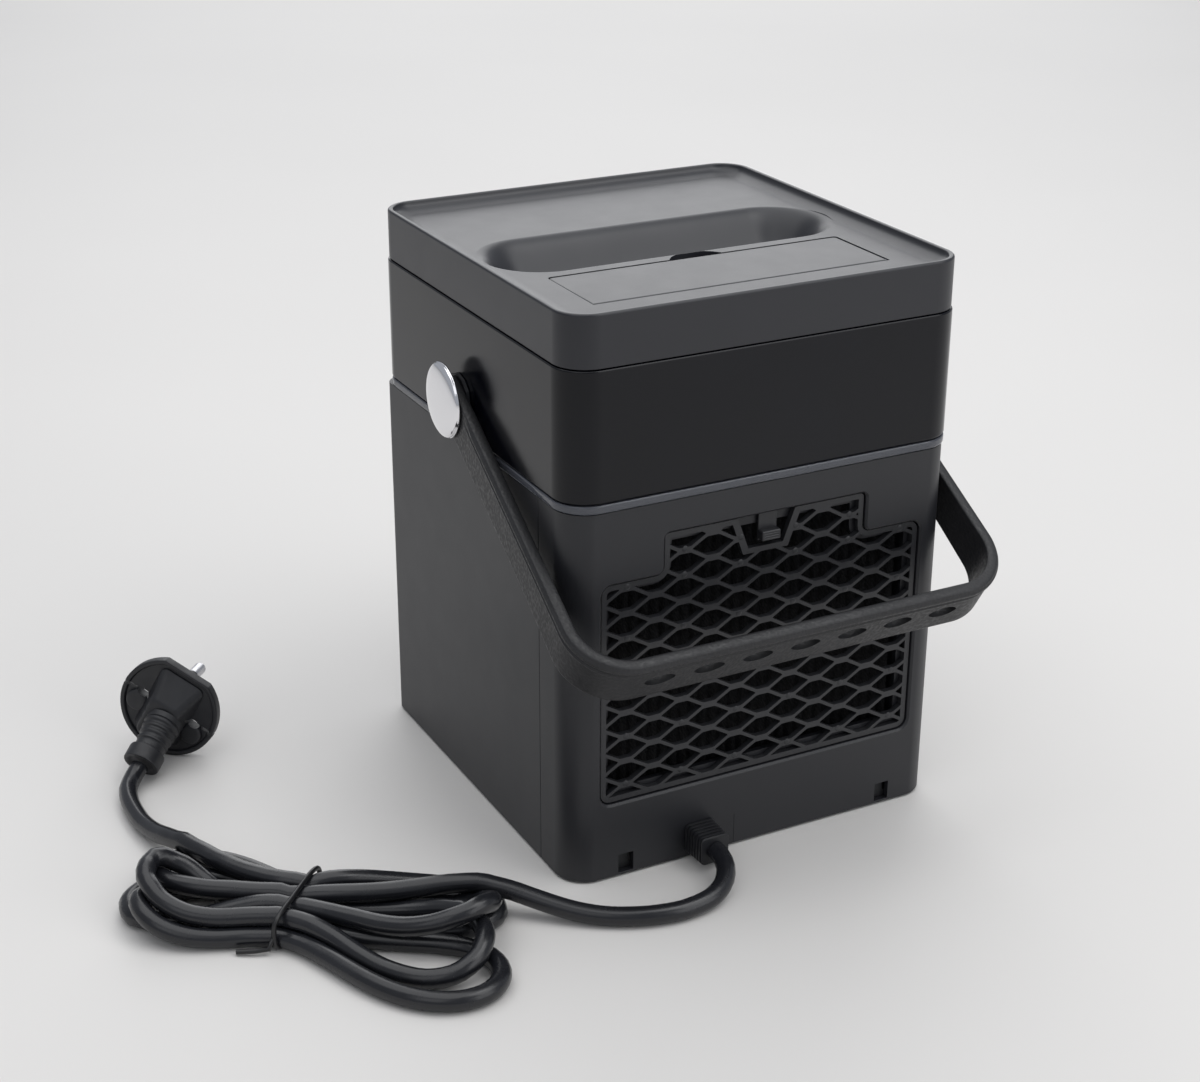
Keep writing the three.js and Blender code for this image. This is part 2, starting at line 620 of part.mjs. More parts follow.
function waterTank() {
  const outer = prismZ(plan(-TANK_PROUD), TANK_LOW, TANK_TOP);
  const room = prismZ(plan(WALL - TANK_PROUD), TANK_LOW + TANK_FLOOR, TANK_TOP + 1);
  let tank = outer.subtract(room);
  const wallIn = HX + TANK_PROUD - WALL;
  for (const side of [-1, 1]) {
    const a = side * (wallIn - 7);
    const b = side * (wallIn + 1);
    tank = tank.add(rodX(Math.min(a, b), Math.max(a, b), PIVOT_Y, PIVOT_Z, PIN_RADIUS + 4));
    const c = side * (wallIn - 5);
    const d = side * (HX + 3);
    tank = tank.subtract(rodX(Math.min(c, d), Math.max(c, d), PIVOT_Y, PIVOT_Z, PIN_RADIUS + GAP));
  }
  return tank.subtract(rodZ(TANK_LOW - 1, TANK_LOW + TANK_FLOOR + 1, 0, SPOUT_Y, HOLE));
}

const LIP_INSET = 4.3;
const LIP_DEEP = 4.2;

function topLid() {
  const outer = prismZ(plan(0), LID_LOW, HEIGHT);
  const under = prismZ(plan(WALL), LID_LOW - 1, DECK_Z - LID_DECK_THICK);
  const well = prismZ(plan(LID_RIM), DECK_Z, HEIGHT + 1);
  let lid = outer.subtract(under).subtract(well);
  // lip that drops inside the tank
  const lip = prismZ(plan(LIP_INSET), LID_LOW - LIP_DEEP, LID_LOW + 2)
    .subtract(prismZ(plan(LIP_INSET + 2), LID_LOW - LIP_DEEP - 1, LID_LOW + 3));
  const shelf = prismZ(plan(1), LID_LOW, LID_LOW + 2).subtract(prismZ(plan(LIP_INSET + 2), LID_LOW - 1, LID_LOW + 3));
  lid = lid.add(lip).add(shelf);
  // ledge under the refill door
  const ledgeLow = DECK_Z - DOOR_THICK - 3;
  lid = lid.add(box(-DOOR_HALF - 2.5, DOOR_HALF + 2.5, DOOR_FRONT - NOTCH_DEEP - 2, DOOR_BACK + 2.5,
    ledgeLow, DECK_Z - 1));
  // trough
  const end = (TROUGH_BACK - TROUGH_FRONT) / 2;
  const troughWall = 2;
  const cup = roundedRect(-TROUGH_HALF - troughWall, TROUGH_HALF + troughWall, TROUGH_FRONT - troughWall,
    TROUGH_BACK + troughWall, end + troughWall - 0.01);
  const hollow = roundedRect(-TROUGH_HALF, TROUGH_HALF, TROUGH_FRONT, TROUGH_BACK, end - 0.01);
  lid = lid.add(prismZ(cup, DECK_Z - TROUGH_DEEP - troughWall, DECK_Z - 1));
  lid = lid.subtract(prismZ(hollow, DECK_Z - TROUGH_DEEP, DECK_Z + 1));
  // opening, door pocket, finger notch and hinge holes
  const pocketLow = DECK_Z - DOOR_THICK - GAP - 0.1;
  lid = lid.subtract(prismZ(roundedRect(-DOOR_HALF, DOOR_HALF, DOOR_FRONT, DOOR_BACK, [1.5, 1.5, 0.1, 0.1]),
    pocketLow, HEIGHT));
  lid = lid.subtract(box(-DOOR_HALF + 4, DOOR_HALF - 4, DOOR_FRONT + 4, DOOR_BACK - 4.5, ledgeLow - 1, HEIGHT));
  const bowl = rodZ(DECK_Z - 2.4, HEIGHT, 0, notchCentre(), notchRadius());
  lid = lid.subtract(bowl);
  return lid.subtract(rodX(-DOOR_HALF - 2, DOOR_HALF + 2, HINGE_Y, HINGE_Z, HINGE_RADIUS + GAP, 12));
}

// The notch is an arc of the circle through its mouth's two corners and its deepest point.
function notchRadius() {
  return (NOTCH_HALF ** 2 + NOTCH_DEEP ** 2) / (2 * NOTCH_DEEP);
}
function notchCentre() {
  return DOOR_FRONT - NOTCH_DEEP + notchRadius();
}

const HINGE_Y = DOOR_BACK - GAP - DOOR_THICK / 2;
const HINGE_Z = DECK_Z - 0.1 - DOOR_THICK / 2;
const HINGE_RADIUS = 0.8;

function refillDoor() {
  const half = DOOR_HALF - 0.4;
  const r = DOOR_THICK / 2;
  const slab = roundedRect(-half, half, DOOR_FRONT + 0.4, HINGE_Y, [1.2, 1.2, 0.05, 0.05]);
  let door = prismZ(slab, HINGE_Z - r, HINGE_Z + r, 3);
  door = door.add(rodX(-half, half, HINGE_Y, HINGE_Z, r, 16));
  return door.add(rodX(-half - 1.8, half + 1.8, HINGE_Y, HINGE_Z, HINGE_RADIUS, 12));
}

function lidSeal() {
  const z1 = TANK_TOP - 0.7;
  return prismZ(plan(LIP_INSET - GAP - 1), z1 - 3, z1).subtract(prismZ(plan(LIP_INSET - GAP), z1 - 4, z1 + 1));
}

const flange = prismZ(plan(-TANK_PROUD), FLANGE_LOW, FLANGE_LOW + FLANGE_THICK)
  .subtract(rodZ(FLANGE_LOW - 1, TANK_LOW + 1, 0, SPOUT_Y, HOLE));
const TANK_INSIDE = TANK_LOW + TANK_FLOOR;

function dripOutlet() {
  const stem = rodZ(TRICKLE_TOP - 2, TANK_INSIDE + 1, 0, SPOUT_Y, SPOUT_RADIUS);
  const collar = rodZ(TANK_INSIDE + GAP, TANK_INSIDE + 2, 0, SPOUT_Y, SPOUT_RADIUS + 3);
  return stem.add(collar).subtract(rodZ(TRICKLE_LOW, TANK_INSIDE + 5, 0, SPOUT_Y, 2.5, 12));
}

function outletStrainer() {
  const r = SPOUT_RADIUS + 3;
  const low = TANK_INSIDE + 2 + GAP;
  let cup = rodZ(low, low + 9, 0, SPOUT_Y, r).subtract(rodZ(low - 1, low + 7.6, 0, SPOUT_Y, r - 1.4));
  for (let i = 0; i < 4; i++) {
    const slit = box(-r - 1, r + 1, -0.8, 0.8, low + 1.5, low + 6).rotate([0, 0, i * 45]);
    cup = cup.subtract(slit.translate([0, SPOUT_Y, 0]));
  }
  return cup;
}

place('body_deck', bodyDeck(), FINISH.inner);
place('tank_base', flange, FINISH.clear);
place('water_tank', waterTank(), FINISH.tank);
place('drip_outlet', dripOutlet(), FINISH.inner);
place('outlet_strainer', outletStrainer(), FINISH.inner);
place('lid_seal', lidSeal(), FINISH.seal);
place('top_lid', topLid(), FINISH.lid);
place('refill_door', refillDoor(), FINISH.lid);

// ---------------------------------------------------------------- strap handle
const SIDE = HX + TANK_PROUD;
const ARM_INNER = SIDE + GAP + WASHER_THICK + GAP;
const ARM_OUTER = ARM_INNER + STRAP_THICK;

// U drawn in the plane of the bail: X across, Y from the pivots to the crossbar.
function bailOutline() {
  const top = STRAP_REACH;
  const wide = ARM_OUTER + STRAP_SPREAD;
  const r = STRAP_CORNER;
  const t = STRAP_THICK;
  const back = -EYE_RADIUS - 1;
  const bend = CAP_RADIUS + 1;
  const shape = new THREE.Shape();
  shape.moveTo(ARM_OUTER, back);
  shape.lineTo(ARM_OUTER, bend);
  shape.lineTo(wide, top - r);
  shape.absarc(wide - r, top - r, r, 0, Math.PI / 2, false);
  shape.lineTo(-wide + r, top);
  shape.absarc(-wide + r, top - r, r, Math.PI / 2, Math.PI, false);
  shape.lineTo(-ARM_OUTER, bend);
  shape.lineTo(-ARM_OUTER, back);
  shape.lineTo(-ARM_OUTER + t, back);
  shape.lineTo(-ARM_OUTER + t, bend);
  shape.lineTo(-wide + t, top - r);
  shape.absarc(-wide + r, top - r, r - t, Math.PI, Math.PI / 2, true);
  shape.lineTo(wide - r, top - t);
  shape.absarc(wide - r, top - r, r - t, Math.PI / 2, 0, true);
  shape.lineTo(ARM_OUTER - t, bend);
  shape.lineTo(ARM_OUTER - t, back);
  shape.closePath();
  return shape;
}

// Edge-on view of the strap: X from the pivot to the crossbar, Y across its width.
function strapEdge() {
  const shape = new THREE.Shape();
  shape.moveTo(0, -EYE_RADIUS);
  shape.lineTo(STRAP_REACH * 0.6, -ARM_DOWN);
  shape.quadraticCurveTo(STRAP_REACH * 0.8, -ARM_DOWN, STRAP_REACH + 1, -CROSSBAR_DOWN);
  shape.lineTo(STRAP_REACH + 1, CROSSBAR_UP);
  shape.lineTo(0, EYE_RADIUS);
  shape.absarc(0, 0, EYE_RADIUS, Math.PI / 2, 1.5 * Math.PI, false);
  return shape;
}

function handleStrap() {
  const reach = ARM_OUTER + STRAP_SPREAD + 1;
  let strap = prismZ(bailOutline(), -15, 15, 4).intersect(prismX(strapEdge(), -reach, reach, 4));
  for (let i = 0; i < SLOT_COUNT; i++) {
    const x = (i - (SLOT_COUNT - 1) / 2) * SLOT_PITCH;
    const slot = new THREE.Shape();
    slot.absellipse(x, 0, SLOT_LONG / 2, SLOT_TALL / 2, 0, 2 * Math.PI, false, 0);
    strap = strap.subtract(prismY(slot, STRAP_REACH - STRAP_THICK - 2, STRAP_REACH + 2, 4));
  }
  return strap.subtract(rodX(-reach, reach, 0, 0, PIN_RADIUS + 0.4));
}

place('handle_strap', handleStrap(), FINISH.strap, handle);

[['left', -1], ['right', 1]].forEach(([side, sign]) => {
  const span = (a, b) => [Math.min(sign * a, sign * b), Math.max(sign * a, sign * b)];
  const washer = rodX(...span(SIDE + GAP, SIDE + GAP + WASHER_THICK), PIVOT_Y, PIVOT_Z, 9)
    .subtract(rodX(...span(SIDE - 1, SIDE + 5), PIVOT_Y, PIVOT_Z, PIN_RADIUS + GAP));
  place(`pivot_washer_${side}`, washer, FINISH.rubber);
  const pin = rodX(...span(SIDE - WALL - 4.5, ARM_OUTER), PIVOT_Y, PIVOT_Z, PIN_RADIUS);
  place(`handle_pin_${side}`, pin, FINISH.steel);
  const dome = [[0, 0], [0, CAP_RADIUS], [0.7, CAP_RADIUS]];
  for (let i = 1; i <= 4; i++) {
    const angle = i * 22.5 * RAD;
    dome.push([0.7 + (CAP_THICK - 0.7) * Math.sin(angle), CAP_RADIUS * Math.cos(angle)]);
  }
  dome[dome.length - 1][1] = 0;
  const cap = place(`handle_cap_${side}`, latheX(dome), FINISH.chrome);
  cap.position.set(sign * (ARM_OUTER + GAP), PIVOT_Y, PIVOT_Z);
  if (sign < 0) cap.rotation.z = Math.PI;
});

// ---------------------------------------------------------------- fan
const HUB_FRONT = SHROUD_FRONT + 1.5;

// One twisted blade: rings of four corners from inside the hub's wall to the tip.
function blade(angle) {
  const rings = 5;
  const root = FAN_HUB - FAN_HUB_WALL / 2;
  const positions = [];
  for (let i = 0; i < rings; i++) {
    const k = i / (rings - 1);
    const radius = root + k * (FAN_RADIUS - root);
    const sweep = angle + 0.35 * k * k;
    const pitch = (52 - 26 * k) * RAD;
    const chord = 15 + 13 * k;
    const along = chord / 2 * Math.cos(pitch);
    const deep = Math.min(chord / 2 * Math.sin(pitch), FAN_DEEP / 2 - 1);
    const skin = 1.1;
    for (const [s, t] of [[-1, -1], [1, -1], [1, 1], [-1, 1]]) {
      const turn = sweep + s * along / radius;
      positions.push(radius * Math.cos(turn), HUB_FRONT + FAN_DEEP / 2 + s * deep + t * skin / 2,
        radius * Math.sin(turn));
    }
  }
  const index = [0, 1, 2, 0, 2, 3];
  for (let i = 0; i < rings - 1; i++) {
    for (let c = 0; c < 4; c++) {
      const a = 4 * i + c;
      const b = 4 * i + (c + 1) % 4;
      // Both skins split their quads along the same diagonal, so that the twist keeps them apart.
      if (c === 2) index.push(a, a + 4, b + 4, a, b + 4, b);
      else index.push(a, a + 4, b, b, a + 4, b + 4);
    }
  }
  const e = 4 * (rings - 1);
  index.push(e, e + 2, e + 1, e, e + 3, e + 2);
  const geometry = new THREE.BufferGeometry();
  geometry.setAttribute('position', new THREE.BufferAttribute(new Float32Array(positions), 3));
  geometry.setIndex(index);
  return toSolid(geometry);
}

function impeller() {
  let wheel = rodY(HUB_FRONT, HUB_FRONT + FAN_DEEP, 0, 0, FAN_HUB, 24)
    .subtract(rodY(HUB_FRONT + 2.5, HUB_FRONT + FAN_DEEP + 1, 0, 0, FAN_HUB - FAN_HUB_WALL, 24))
    .add(rodY(HUB_FRONT, HUB_FRONT + FAN_DEEP - 4, 0, 0, SHAFT_RADIUS + 3));
  for (let i = 0; i < FAN_BLADES; i++) {
    wheel = wheel.add(blade(i * 2 * Math.PI / FAN_BLADES));
  }
  wheel = wheel.subtract(rodY(HUB_FRONT + 2, HUB_FRONT + FAN_DEEP + 1, 0, 0, SHAFT_RADIUS + GAP, 12));
  return wheel.translate([0, 0, FAN_Z]);
}

const SHROUD_BORE = FAN_RADIUS + FAN_TIP_GAP;
const SHROUD_HALF = SHROUD_BORE + SHROUD_RIM;
const POWER_BOARD_Z = BASE_THICK + POWER_BOARD_LIFT;
const FAN_SPACE = DECK_LOW - POWER_BOARD_Z - POWER_BOARD_THICK - SHROUD_HALF - SHROUD_BORE - SHROUD_WALL;
const FAN_Z = DECK_LOW - FAN_ABOVE * FAN_SPACE - SHROUD_HALF;

function fanShroud() {
  const y0 = SHROUD_FRONT;
  const half = HX - WALL - 3;
  const plate = box(-half, half, y0, y0 + 2.5, FAN_Z - SHROUD_HALF, FAN_Z + SHROUD_HALF);
  const duct = rodY(y0, y0 + SHROUD_DEEP, 0, FAN_Z, SHROUD_BORE + SHROUD_WALL, 32);
  return plate.add(duct).subtract(rodY(y0 - 1, y0 + SHROUD_DEEP + 1, 0, FAN_Z, SHROUD_BORE, 32));
}

function fingerGuard() {
  const y1 = SHROUD_FRONT - GAP;
  const y0 = y1 - 1.3;
  const rings = [[17, 18.6], [32, 33.6], [SHROUD_BORE - 3, SHROUD_BORE + SHROUD_WALL]];
  let guard = rodY(y0, y1, 0, 0, 7);
  for (const [inner, outer] of rings) {
    guard = guard.add(rodY(y0, y1, 0, 0, outer, 16).subtract(rodY(y0 - 1, y1 + 1, 0, 0, inner, 16)));
  }
  for (let i = 0; i < 3; i++) {
    guard = guard.add(box(1 - SHROUD_BORE, SHROUD_BORE - 1, y0, y1, -0.8, 0.8).rotate([0, i * 60, 0]));
  }
  return guard.translate([0, 0, FAN_Z]);
}

const BRACKET_FRONT = SHROUD_FRONT + SHROUD_DEEP + GAP;

function motorBracket() {
  const y0 = BRACKET_FRONT;
  let web = rodY(y0, y0 + 14, 0, 0, MOTOR_RADIUS + 3, 24);
  for (let i = 0; i < 4; i++) {
    web = web.add(box(0, SHROUD_BORE + 1.6, y0, y0 + 3.4, -3, 3).rotate([0, 45 + i * 90, 0]));
  }
  web = web.subtract(rodY(y0 + 2, y0 + 15, 0, 0, MOTOR_RADIUS + GAP, 24));
  return web.subtract(rodY(y0 - 1, y0 + 3, 0, 0, SHAFT_RADIUS + 3.5)).translate([0, 0, FAN_Z]);
}

const MOTOR_FRONT = BRACKET_FRONT + 2 + GAP;

place('fan_shroud', fanShroud(), FINISH.inner);
place('finger_guard', fingerGuard(), FINISH.inner);
place('impeller', impeller(), FINISH.grille);
place('motor_bracket', motorBracket(), FINISH.inner);
place('fan_motor', rodY(MOTOR_FRONT, MOTOR_FRONT + MOTOR_LONG, 0, FAN_Z, MOTOR_RADIUS, 24)
  .subtract(rodY(MOTOR_FRONT - 1, MOTOR_FRONT + 8, 0, FAN_Z, SHAFT_RADIUS + GAP, 12)), FINISH.steel);
place('motor_shaft', rodY(HUB_FRONT + 2 + GAP, MOTOR_FRONT + 7, 0, FAN_Z, SHAFT_RADIUS, 12), FINISH.steel);

// ---------------------------------------------------------------- buttons and boards
const BOARD_FRONT = -HY + WALL + 7.5;

function controlBoard() {
  let board = box(-46, 46, BOARD_FRONT, BOARD_FRONT + 1.6, BUTTON_Z - 9, BUTTON_Z + 9);
  for (const x of buttonPlaces()) {
    board = board.add(box(x - 3, x + 3, BOARD_FRONT - 3, BOARD_FRONT + 0.5, BUTTON_Z - 3, BUTTON_Z + 3));
  }
  return board;
}

function button(x) {
  const front = -HY - BUTTON_PROUD;
  const stem = rodY(front + 2, BOARD_FRONT - 3 - 1.3, x, BUTTON_Z, 2.4);
  return rodY(front, -HY + WALL - 0.5, x, BUTTON_Z, BUTTON_RADIUS, 20).add(stem);
}

function powerBoard() {
  const z = POWER_BOARD_Z;
  let board = box(-52, 30, -34, 30, z, z + POWER_BOARD_THICK);
  const parts = [[-44, -20, -24, -2, 18], [-12, 4, -26, -10, 13], [10, 22, -20, 14, 9], [-40, -16, 8, 24, 11]];
  for (const [x0, x1, y0, y1, tall] of parts) board = board.add(box(x0, x1, y0, y1, z + 1, z + 1.6 + tall));
  for (const [x, y] of [[-48, -30], [26, -30], [26, 26], [-48, 26]]) {
    board = board.add(rodZ(BASE_THICK + GAP, z + 0.5, x, y, 2.5));
  }
  return board;
}

place('control_board', controlBoard(), FINISH.board);
buttonPlaces().forEach((x, i) => place(BUTTON_NAMES[i], button(x), FINISH.button));
place('power_board', powerBoard(), FINISH.board);

// ---------------------------------------------------------------- strain relief and mains lead
// Ribbed block outside the wall, a square neck through it and a flange inside.
function strainRelief() {
  const y0 = HY + GAP;
  const y1 = y0 + RELIEF_OUT;
  const hw = RELIEF_WIDE / 2;
  const ht = RELIEF_TALL / 2;
  const taper = new THREE.Shape();
  taper.moveTo(RELIEF_X - hw, y0);
  taper.lineTo(RELIEF_X + hw, y0);
  taper.lineTo(RELIEF_X + hw - RELIEF_TAPER, y1);
  taper.lineTo(RELIEF_X - hw + RELIEF_TAPER, y1);
  taper.closePath();
  let block = prismZ(taper, RELIEF_Z - ht, RELIEF_Z + ht);
  const rings = 6;
  for (let i = 1; i <= rings; i++) {
    const y = y0 + (i - 0.5) * 1.55;
    const groove = box(RELIEF_X - 9, RELIEF_X + 9, y, y + 0.75, RELIEF_Z - 9, RELIEF_Z + 9)
      .subtract(box(RELIEF_X - hw + 1.1, RELIEF_X + hw - 1.1, y - 1, y + 2, RELIEF_Z - ht + 0.9,
        RELIEF_Z + ht - 0.9));
    block = block.subtract(groove);
  }
  const n = RELIEF_NECK;
  const neck = box(RELIEF_X - n, RELIEF_X + n, HY - WALL - 1, y0 + 1, RELIEF_Z - n, RELIEF_Z + n);
  const inside = box(RELIEF_X - hw, RELIEF_X + hw, HY - WALL - 7.5, HY - WALL - GAP, RELIEF_Z - 4.2, RELIEF_Z + ht);
  return block.add(neck).add(inside);
}

// Points chosen along the lead, on the cord's middle line.
const LEAD_POINTS = [
  [24.8, 91.1, 8.5], [24.9, 95, 8.3], [26.2, 100.5, 7.2], [30, 106, 5.6], [36.5, 110.4, 4.4],
  [45, 112.2, 3.7], [54, 111.8, 3.6], [62.5, 109.6, 3.6], [70.5, 106, 3.6], [78, 101.8, 4],
  [86, 96.8, 5.2], [94.5, 91.2, 7.4], [101.6, 86.8, 9.2],
];
const TAIL_POINTS = [
  [197.5, -6.5, 7.2], [198.3, -16, 5.2], [198.9, -26, 4], [199.1, -36, 3.6], [198.7, -45, 3.6],
  [197.2, -53, 3.7], [195.2, -57.4, 4], [192.6, -60.9, 5], [189.2, -63.9, 6.9],
];

function cordTube(points) {
  const path = new THREE.CatmullRomCurve3(points.map((p) => new THREE.Vector3(...p)));
  const section = circle(0, 0, CORD_DIAMETER / 2);
  const steps = Math.round(path.getLength() / (2.2 * CORD_DIAMETER)) * 2;
  const options = { steps, bevelEnabled: false, extrudePath: path, curveSegments: 5 };
  return new THREE.ExtrudeGeometry(section, options);
}

// The tied hank, as one solid: its waist is at the tie and its ends are round.
const HANK_MIDDLE = [169, 55];
const HANK_TURN = Math.atan2(0.669, -0.743);
const HANK_HIGH = 14.2;
const HANK_WAIST = 16.5;
const TIE_WIRE = 1.6;
const HANK_OUTLINE = [
  [0, -HANK_WAIST], [-18, -25], [-36, -38], [-56, -37], [-68, -27], [-71, -15], [-78, -5], [-87, 8],
  [-89, 24], [-80, 32], [-58, 30], [-30, 22], [0, HANK_WAIST], [25, 20], [48, 25], [62, 18], [70, 8],
  [71, -5], [64, -20], [44, -33], [20, -24],
];

function cordHank() {
  const spline = new THREE.SplineCurve(HANK_OUTLINE.concat([HANK_OUTLINE[0]])
    .map(([s, t]) => new THREE.Vector2(s, t)));
  const shape = new THREE.Shape(spline.getPoints(2 * HANK_OUTLINE.length).slice(0, -1));
  const groove = box(-TIE_WIRE, TIE_WIRE, -50, 50, -1, TIE_WIRE + 2 * GAP);
  return prismZ(shape, 0.2, HANK_HIGH).subtract(groove);
}

function cordTie() {
  const w = HANK_WAIST + GAP + 0.3;
  const low = 0.1;
  const top = HANK_HIGH + GAP;
  return box(-TIE_WIRE / 2, TIE_WIRE / 2, -w - TIE_WIRE, w + TIE_WIRE, low, top + TIE_WIRE)
    .subtract(box(-TIE_WIRE, TIE_WIRE, -w, w, low + TIE_WIRE, top));
}

place('strain_relief', strainRelief(), FINISH.rubber);
place('cord_lead', cordTube(LEAD_POINTS), FINISH.cord);
place('cord_tail', cordTube(TAIL_POINTS), FINISH.cord);
const hankFrame = new THREE.Group();
hankFrame.position.set(HANK_MIDDLE[0], HANK_MIDDLE[1], 0);
hankFrame.rotation.z = HANK_TURN + Math.PI;
object.add(hankFrame);
place('cord_hank', cordHank(), FINISH.cord, hankFrame);
place('cord_tie', cordTie(), FINISH.rubber, hankFrame);

// ---------------------------------------------------------------- plug
const PLUG_CENTRE = new THREE.Vector3(171, -81, 20.3);
const PLUG_AXIS = new THREE.Vector3(0.645, 0.762, 0.06).normalize();   // from the pins to the cord
const PLUG_UP = new THREE.Vector3(-0.403, 0.272, 0.874);               // along the line of the pins
const PLUG_RADIUS = 20.2;
const PLUG_THICK = 4;
const PLUG_CHORD = 17.8;
const PIN_PITCH = 19;
const PIN_LONG = 19;
const CONTACT_RADIUS = 2.4;
const COLLAR_END = new THREE.Vector3(188.7, -64.4, 7.2);
const COLLAR_AXIS = new THREE.Vector3(0.67, 0.57, -0.475).normalize();
const COLLAR_RADIUS = 7.2;
const SLEEVE_LONG = 20;

const plugTurn = new THREE.Matrix4();
{
  const z = PLUG_AXIS.clone();
  const x = new THREE.Vector3().crossVectors(PLUG_UP, z).normalize();
  const y = new THREE.Vector3().crossVectors(z, x);
  plugTurn.makeBasis(x, y, z).setPosition(PLUG_CENTRE);
}

function collarMatrix() {
  const z = COLLAR_AXIS.clone();
  const x = new THREE.Vector3().crossVectors(new THREE.Vector3(0, 0, 1), z).normalize();
  const y = new THREE.Vector3().crossVectors(z, x);
  return new THREE.Matrix4().makeBasis(x, y, z).setPosition(COLLAR_END);
}

function moved(solid, matrix) {
  const geometry = toGeometry(solid);
  geometry.applyMatrix4(matrix);
  return toSolid(geometry);
}

// Disc with a flat top and two slits, hub behind it, and a ribbed sleeve that ends in a collar.
function plugBody() {
  const disc = new THREE.Shape();
  const chordAngle = Math.acos(PLUG_CHORD / PLUG_RADIUS);
  disc.absarc(0, 0, PLUG_RADIUS, Math.PI / 2 + chordAngle, 2.5 * Math.PI - chordAngle, false);
  disc.closePath();
  let body = prismZ(disc, -PLUG_THICK / 2, PLUG_THICK / 2, 14);
  for (const side of [-1, 1]) {
    body = body.subtract(box(Math.min(side * 15, side * 25), Math.max(side * 15, side * 25), -0.5, 0.5, -9, 9));
    const lens = new THREE.Shape();
    lens.absellipse(side * 11.2, 0, 2.9, 1, 0, 2 * Math.PI, false, 0);
    body = body.subtract(prismZ(lens, -9, 9, 4));
  }
  const hub = roundedRect(-8, 8, -13, 10, 5);
  body = moved(body.add(prismZ(hub, 0, 8.5, 3)), plugTurn);
  const profile = [[0, 0], [0, COLLAR_RADIUS], [-6, COLLAR_RADIUS], [-6.6, 6], [-11, 6.3], [-SLEEVE_LONG, 7.2],
    [-SLEEVE_LONG, 0]];
  const sleeve = new THREE.LatheGeometry(profile.reverse().map(([z, r]) => new THREE.Vector2(r, z)), 16);
  sleeve.rotateX(Math.PI / 2);
  return body.add(moved(toSolid(sleeve), collarMatrix()));
}

function plugPin(sign) {
  const geometry = toGeometry(rodZ(-PLUG_THICK / 2 - GAP - PIN_LONG, -PLUG_THICK / 2 - GAP, 0,
    sign * PIN_PITCH / 2, CONTACT_RADIUS, 12));
  geometry.applyMatrix4(plugTurn);
  return geometry;
}

place('plug_body', plugBody(), FINISH.rubber);
place('plug_pin_1', plugPin(1), FINISH.steel);
place('plug_pin_2', plugPin(-1), FINISH.steel);

export default object;
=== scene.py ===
"""Desk evaporative cooler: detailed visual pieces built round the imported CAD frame.

Every length inside a builder is in millimetres, and becomes metres when a mesh is made.
+Z is up, the air outlet faces -Y and the intake grille faces +Y.
"""
import json
import math

import bmesh
import bpy
import numpy as np
from mathutils import Matrix, Vector


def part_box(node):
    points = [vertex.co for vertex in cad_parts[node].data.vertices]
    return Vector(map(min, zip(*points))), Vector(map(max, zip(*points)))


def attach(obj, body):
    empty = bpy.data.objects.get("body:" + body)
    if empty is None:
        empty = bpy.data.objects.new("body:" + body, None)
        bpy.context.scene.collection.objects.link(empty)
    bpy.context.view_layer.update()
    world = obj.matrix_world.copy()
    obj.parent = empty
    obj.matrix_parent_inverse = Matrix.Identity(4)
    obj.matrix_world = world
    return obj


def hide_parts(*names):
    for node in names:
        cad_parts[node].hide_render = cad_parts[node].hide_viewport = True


bl_info = {
    "name": "Desk cooler",
    "version": (1, 0, 0),
    "blender": (4, 5, 0),
    "location": "3D View > Sidebar > Desk cooler",
    "description": "Builds the shells, tank, lid, strap, grille, lead and plug of a desk evaporative cooler",
    "category": "Add Mesh",
}

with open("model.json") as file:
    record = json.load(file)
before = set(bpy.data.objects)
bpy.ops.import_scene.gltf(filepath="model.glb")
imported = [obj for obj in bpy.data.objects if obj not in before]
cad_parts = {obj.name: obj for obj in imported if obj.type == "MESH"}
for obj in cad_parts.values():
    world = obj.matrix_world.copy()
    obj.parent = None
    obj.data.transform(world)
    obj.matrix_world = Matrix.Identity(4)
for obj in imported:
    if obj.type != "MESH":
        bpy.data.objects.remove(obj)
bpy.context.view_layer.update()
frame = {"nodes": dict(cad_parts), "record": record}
MM = 0.001


def node_box(name):
    """Lowest and highest corner of a CAD node, in millimetres."""
    low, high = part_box(name)
    return np.array(low) / MM, np.array(high) / MM


# ---------------------------------------------------------------- levels taken from the frame
SHELL_LOW, SHELL_HIGH = node_box("rear_housing")
FRONT_HIGH = node_box("front_housing")[1]
TANK_LOW, TANK_HIGH = node_box("water_tank")
FLANGE_LOW, FLANGE_HIGH = node_box("tank_base")
LID_LOW, LID_HIGH = node_box("top_lid")
GRILLE_LOW, GRILLE_HIGH = node_box("filter_grille")
LATCH_LOW, LATCH_HIGH = node_box("grille_latch")
CAP_LOW, CAP_HIGH = node_box("handle_cap_right")
PAD_LOW, PAD_HIGH = node_box("evaporator_pad")
RELIEF_LOW, RELIEF_HIGH = node_box("strain_relief")

HX = FRONT_HIGH[0]
HY = SHELL_HIGH[1]
PROUD = TANK_HIGH[0] - HX
HEIGHT = LID_HIGH[2]
CORNER = 12.0
FRONT_CORNER = 6.0
WALL = 2.5
PIVOT = np.array([0.0, (CAP_LOW[1] + CAP_HIGH[1]) / 2, (CAP_LOW[2] + CAP_HIGH[2]) / 2])
FAN_Z = 78.0
MOUTH = (-57, 57, 41, 125)                   # the air outlet: x from and to, z from and to
BUTTONS = {"power": -36, "speed": -12, "mist": 12, "timer": 36}
BUTTON_Z = 22


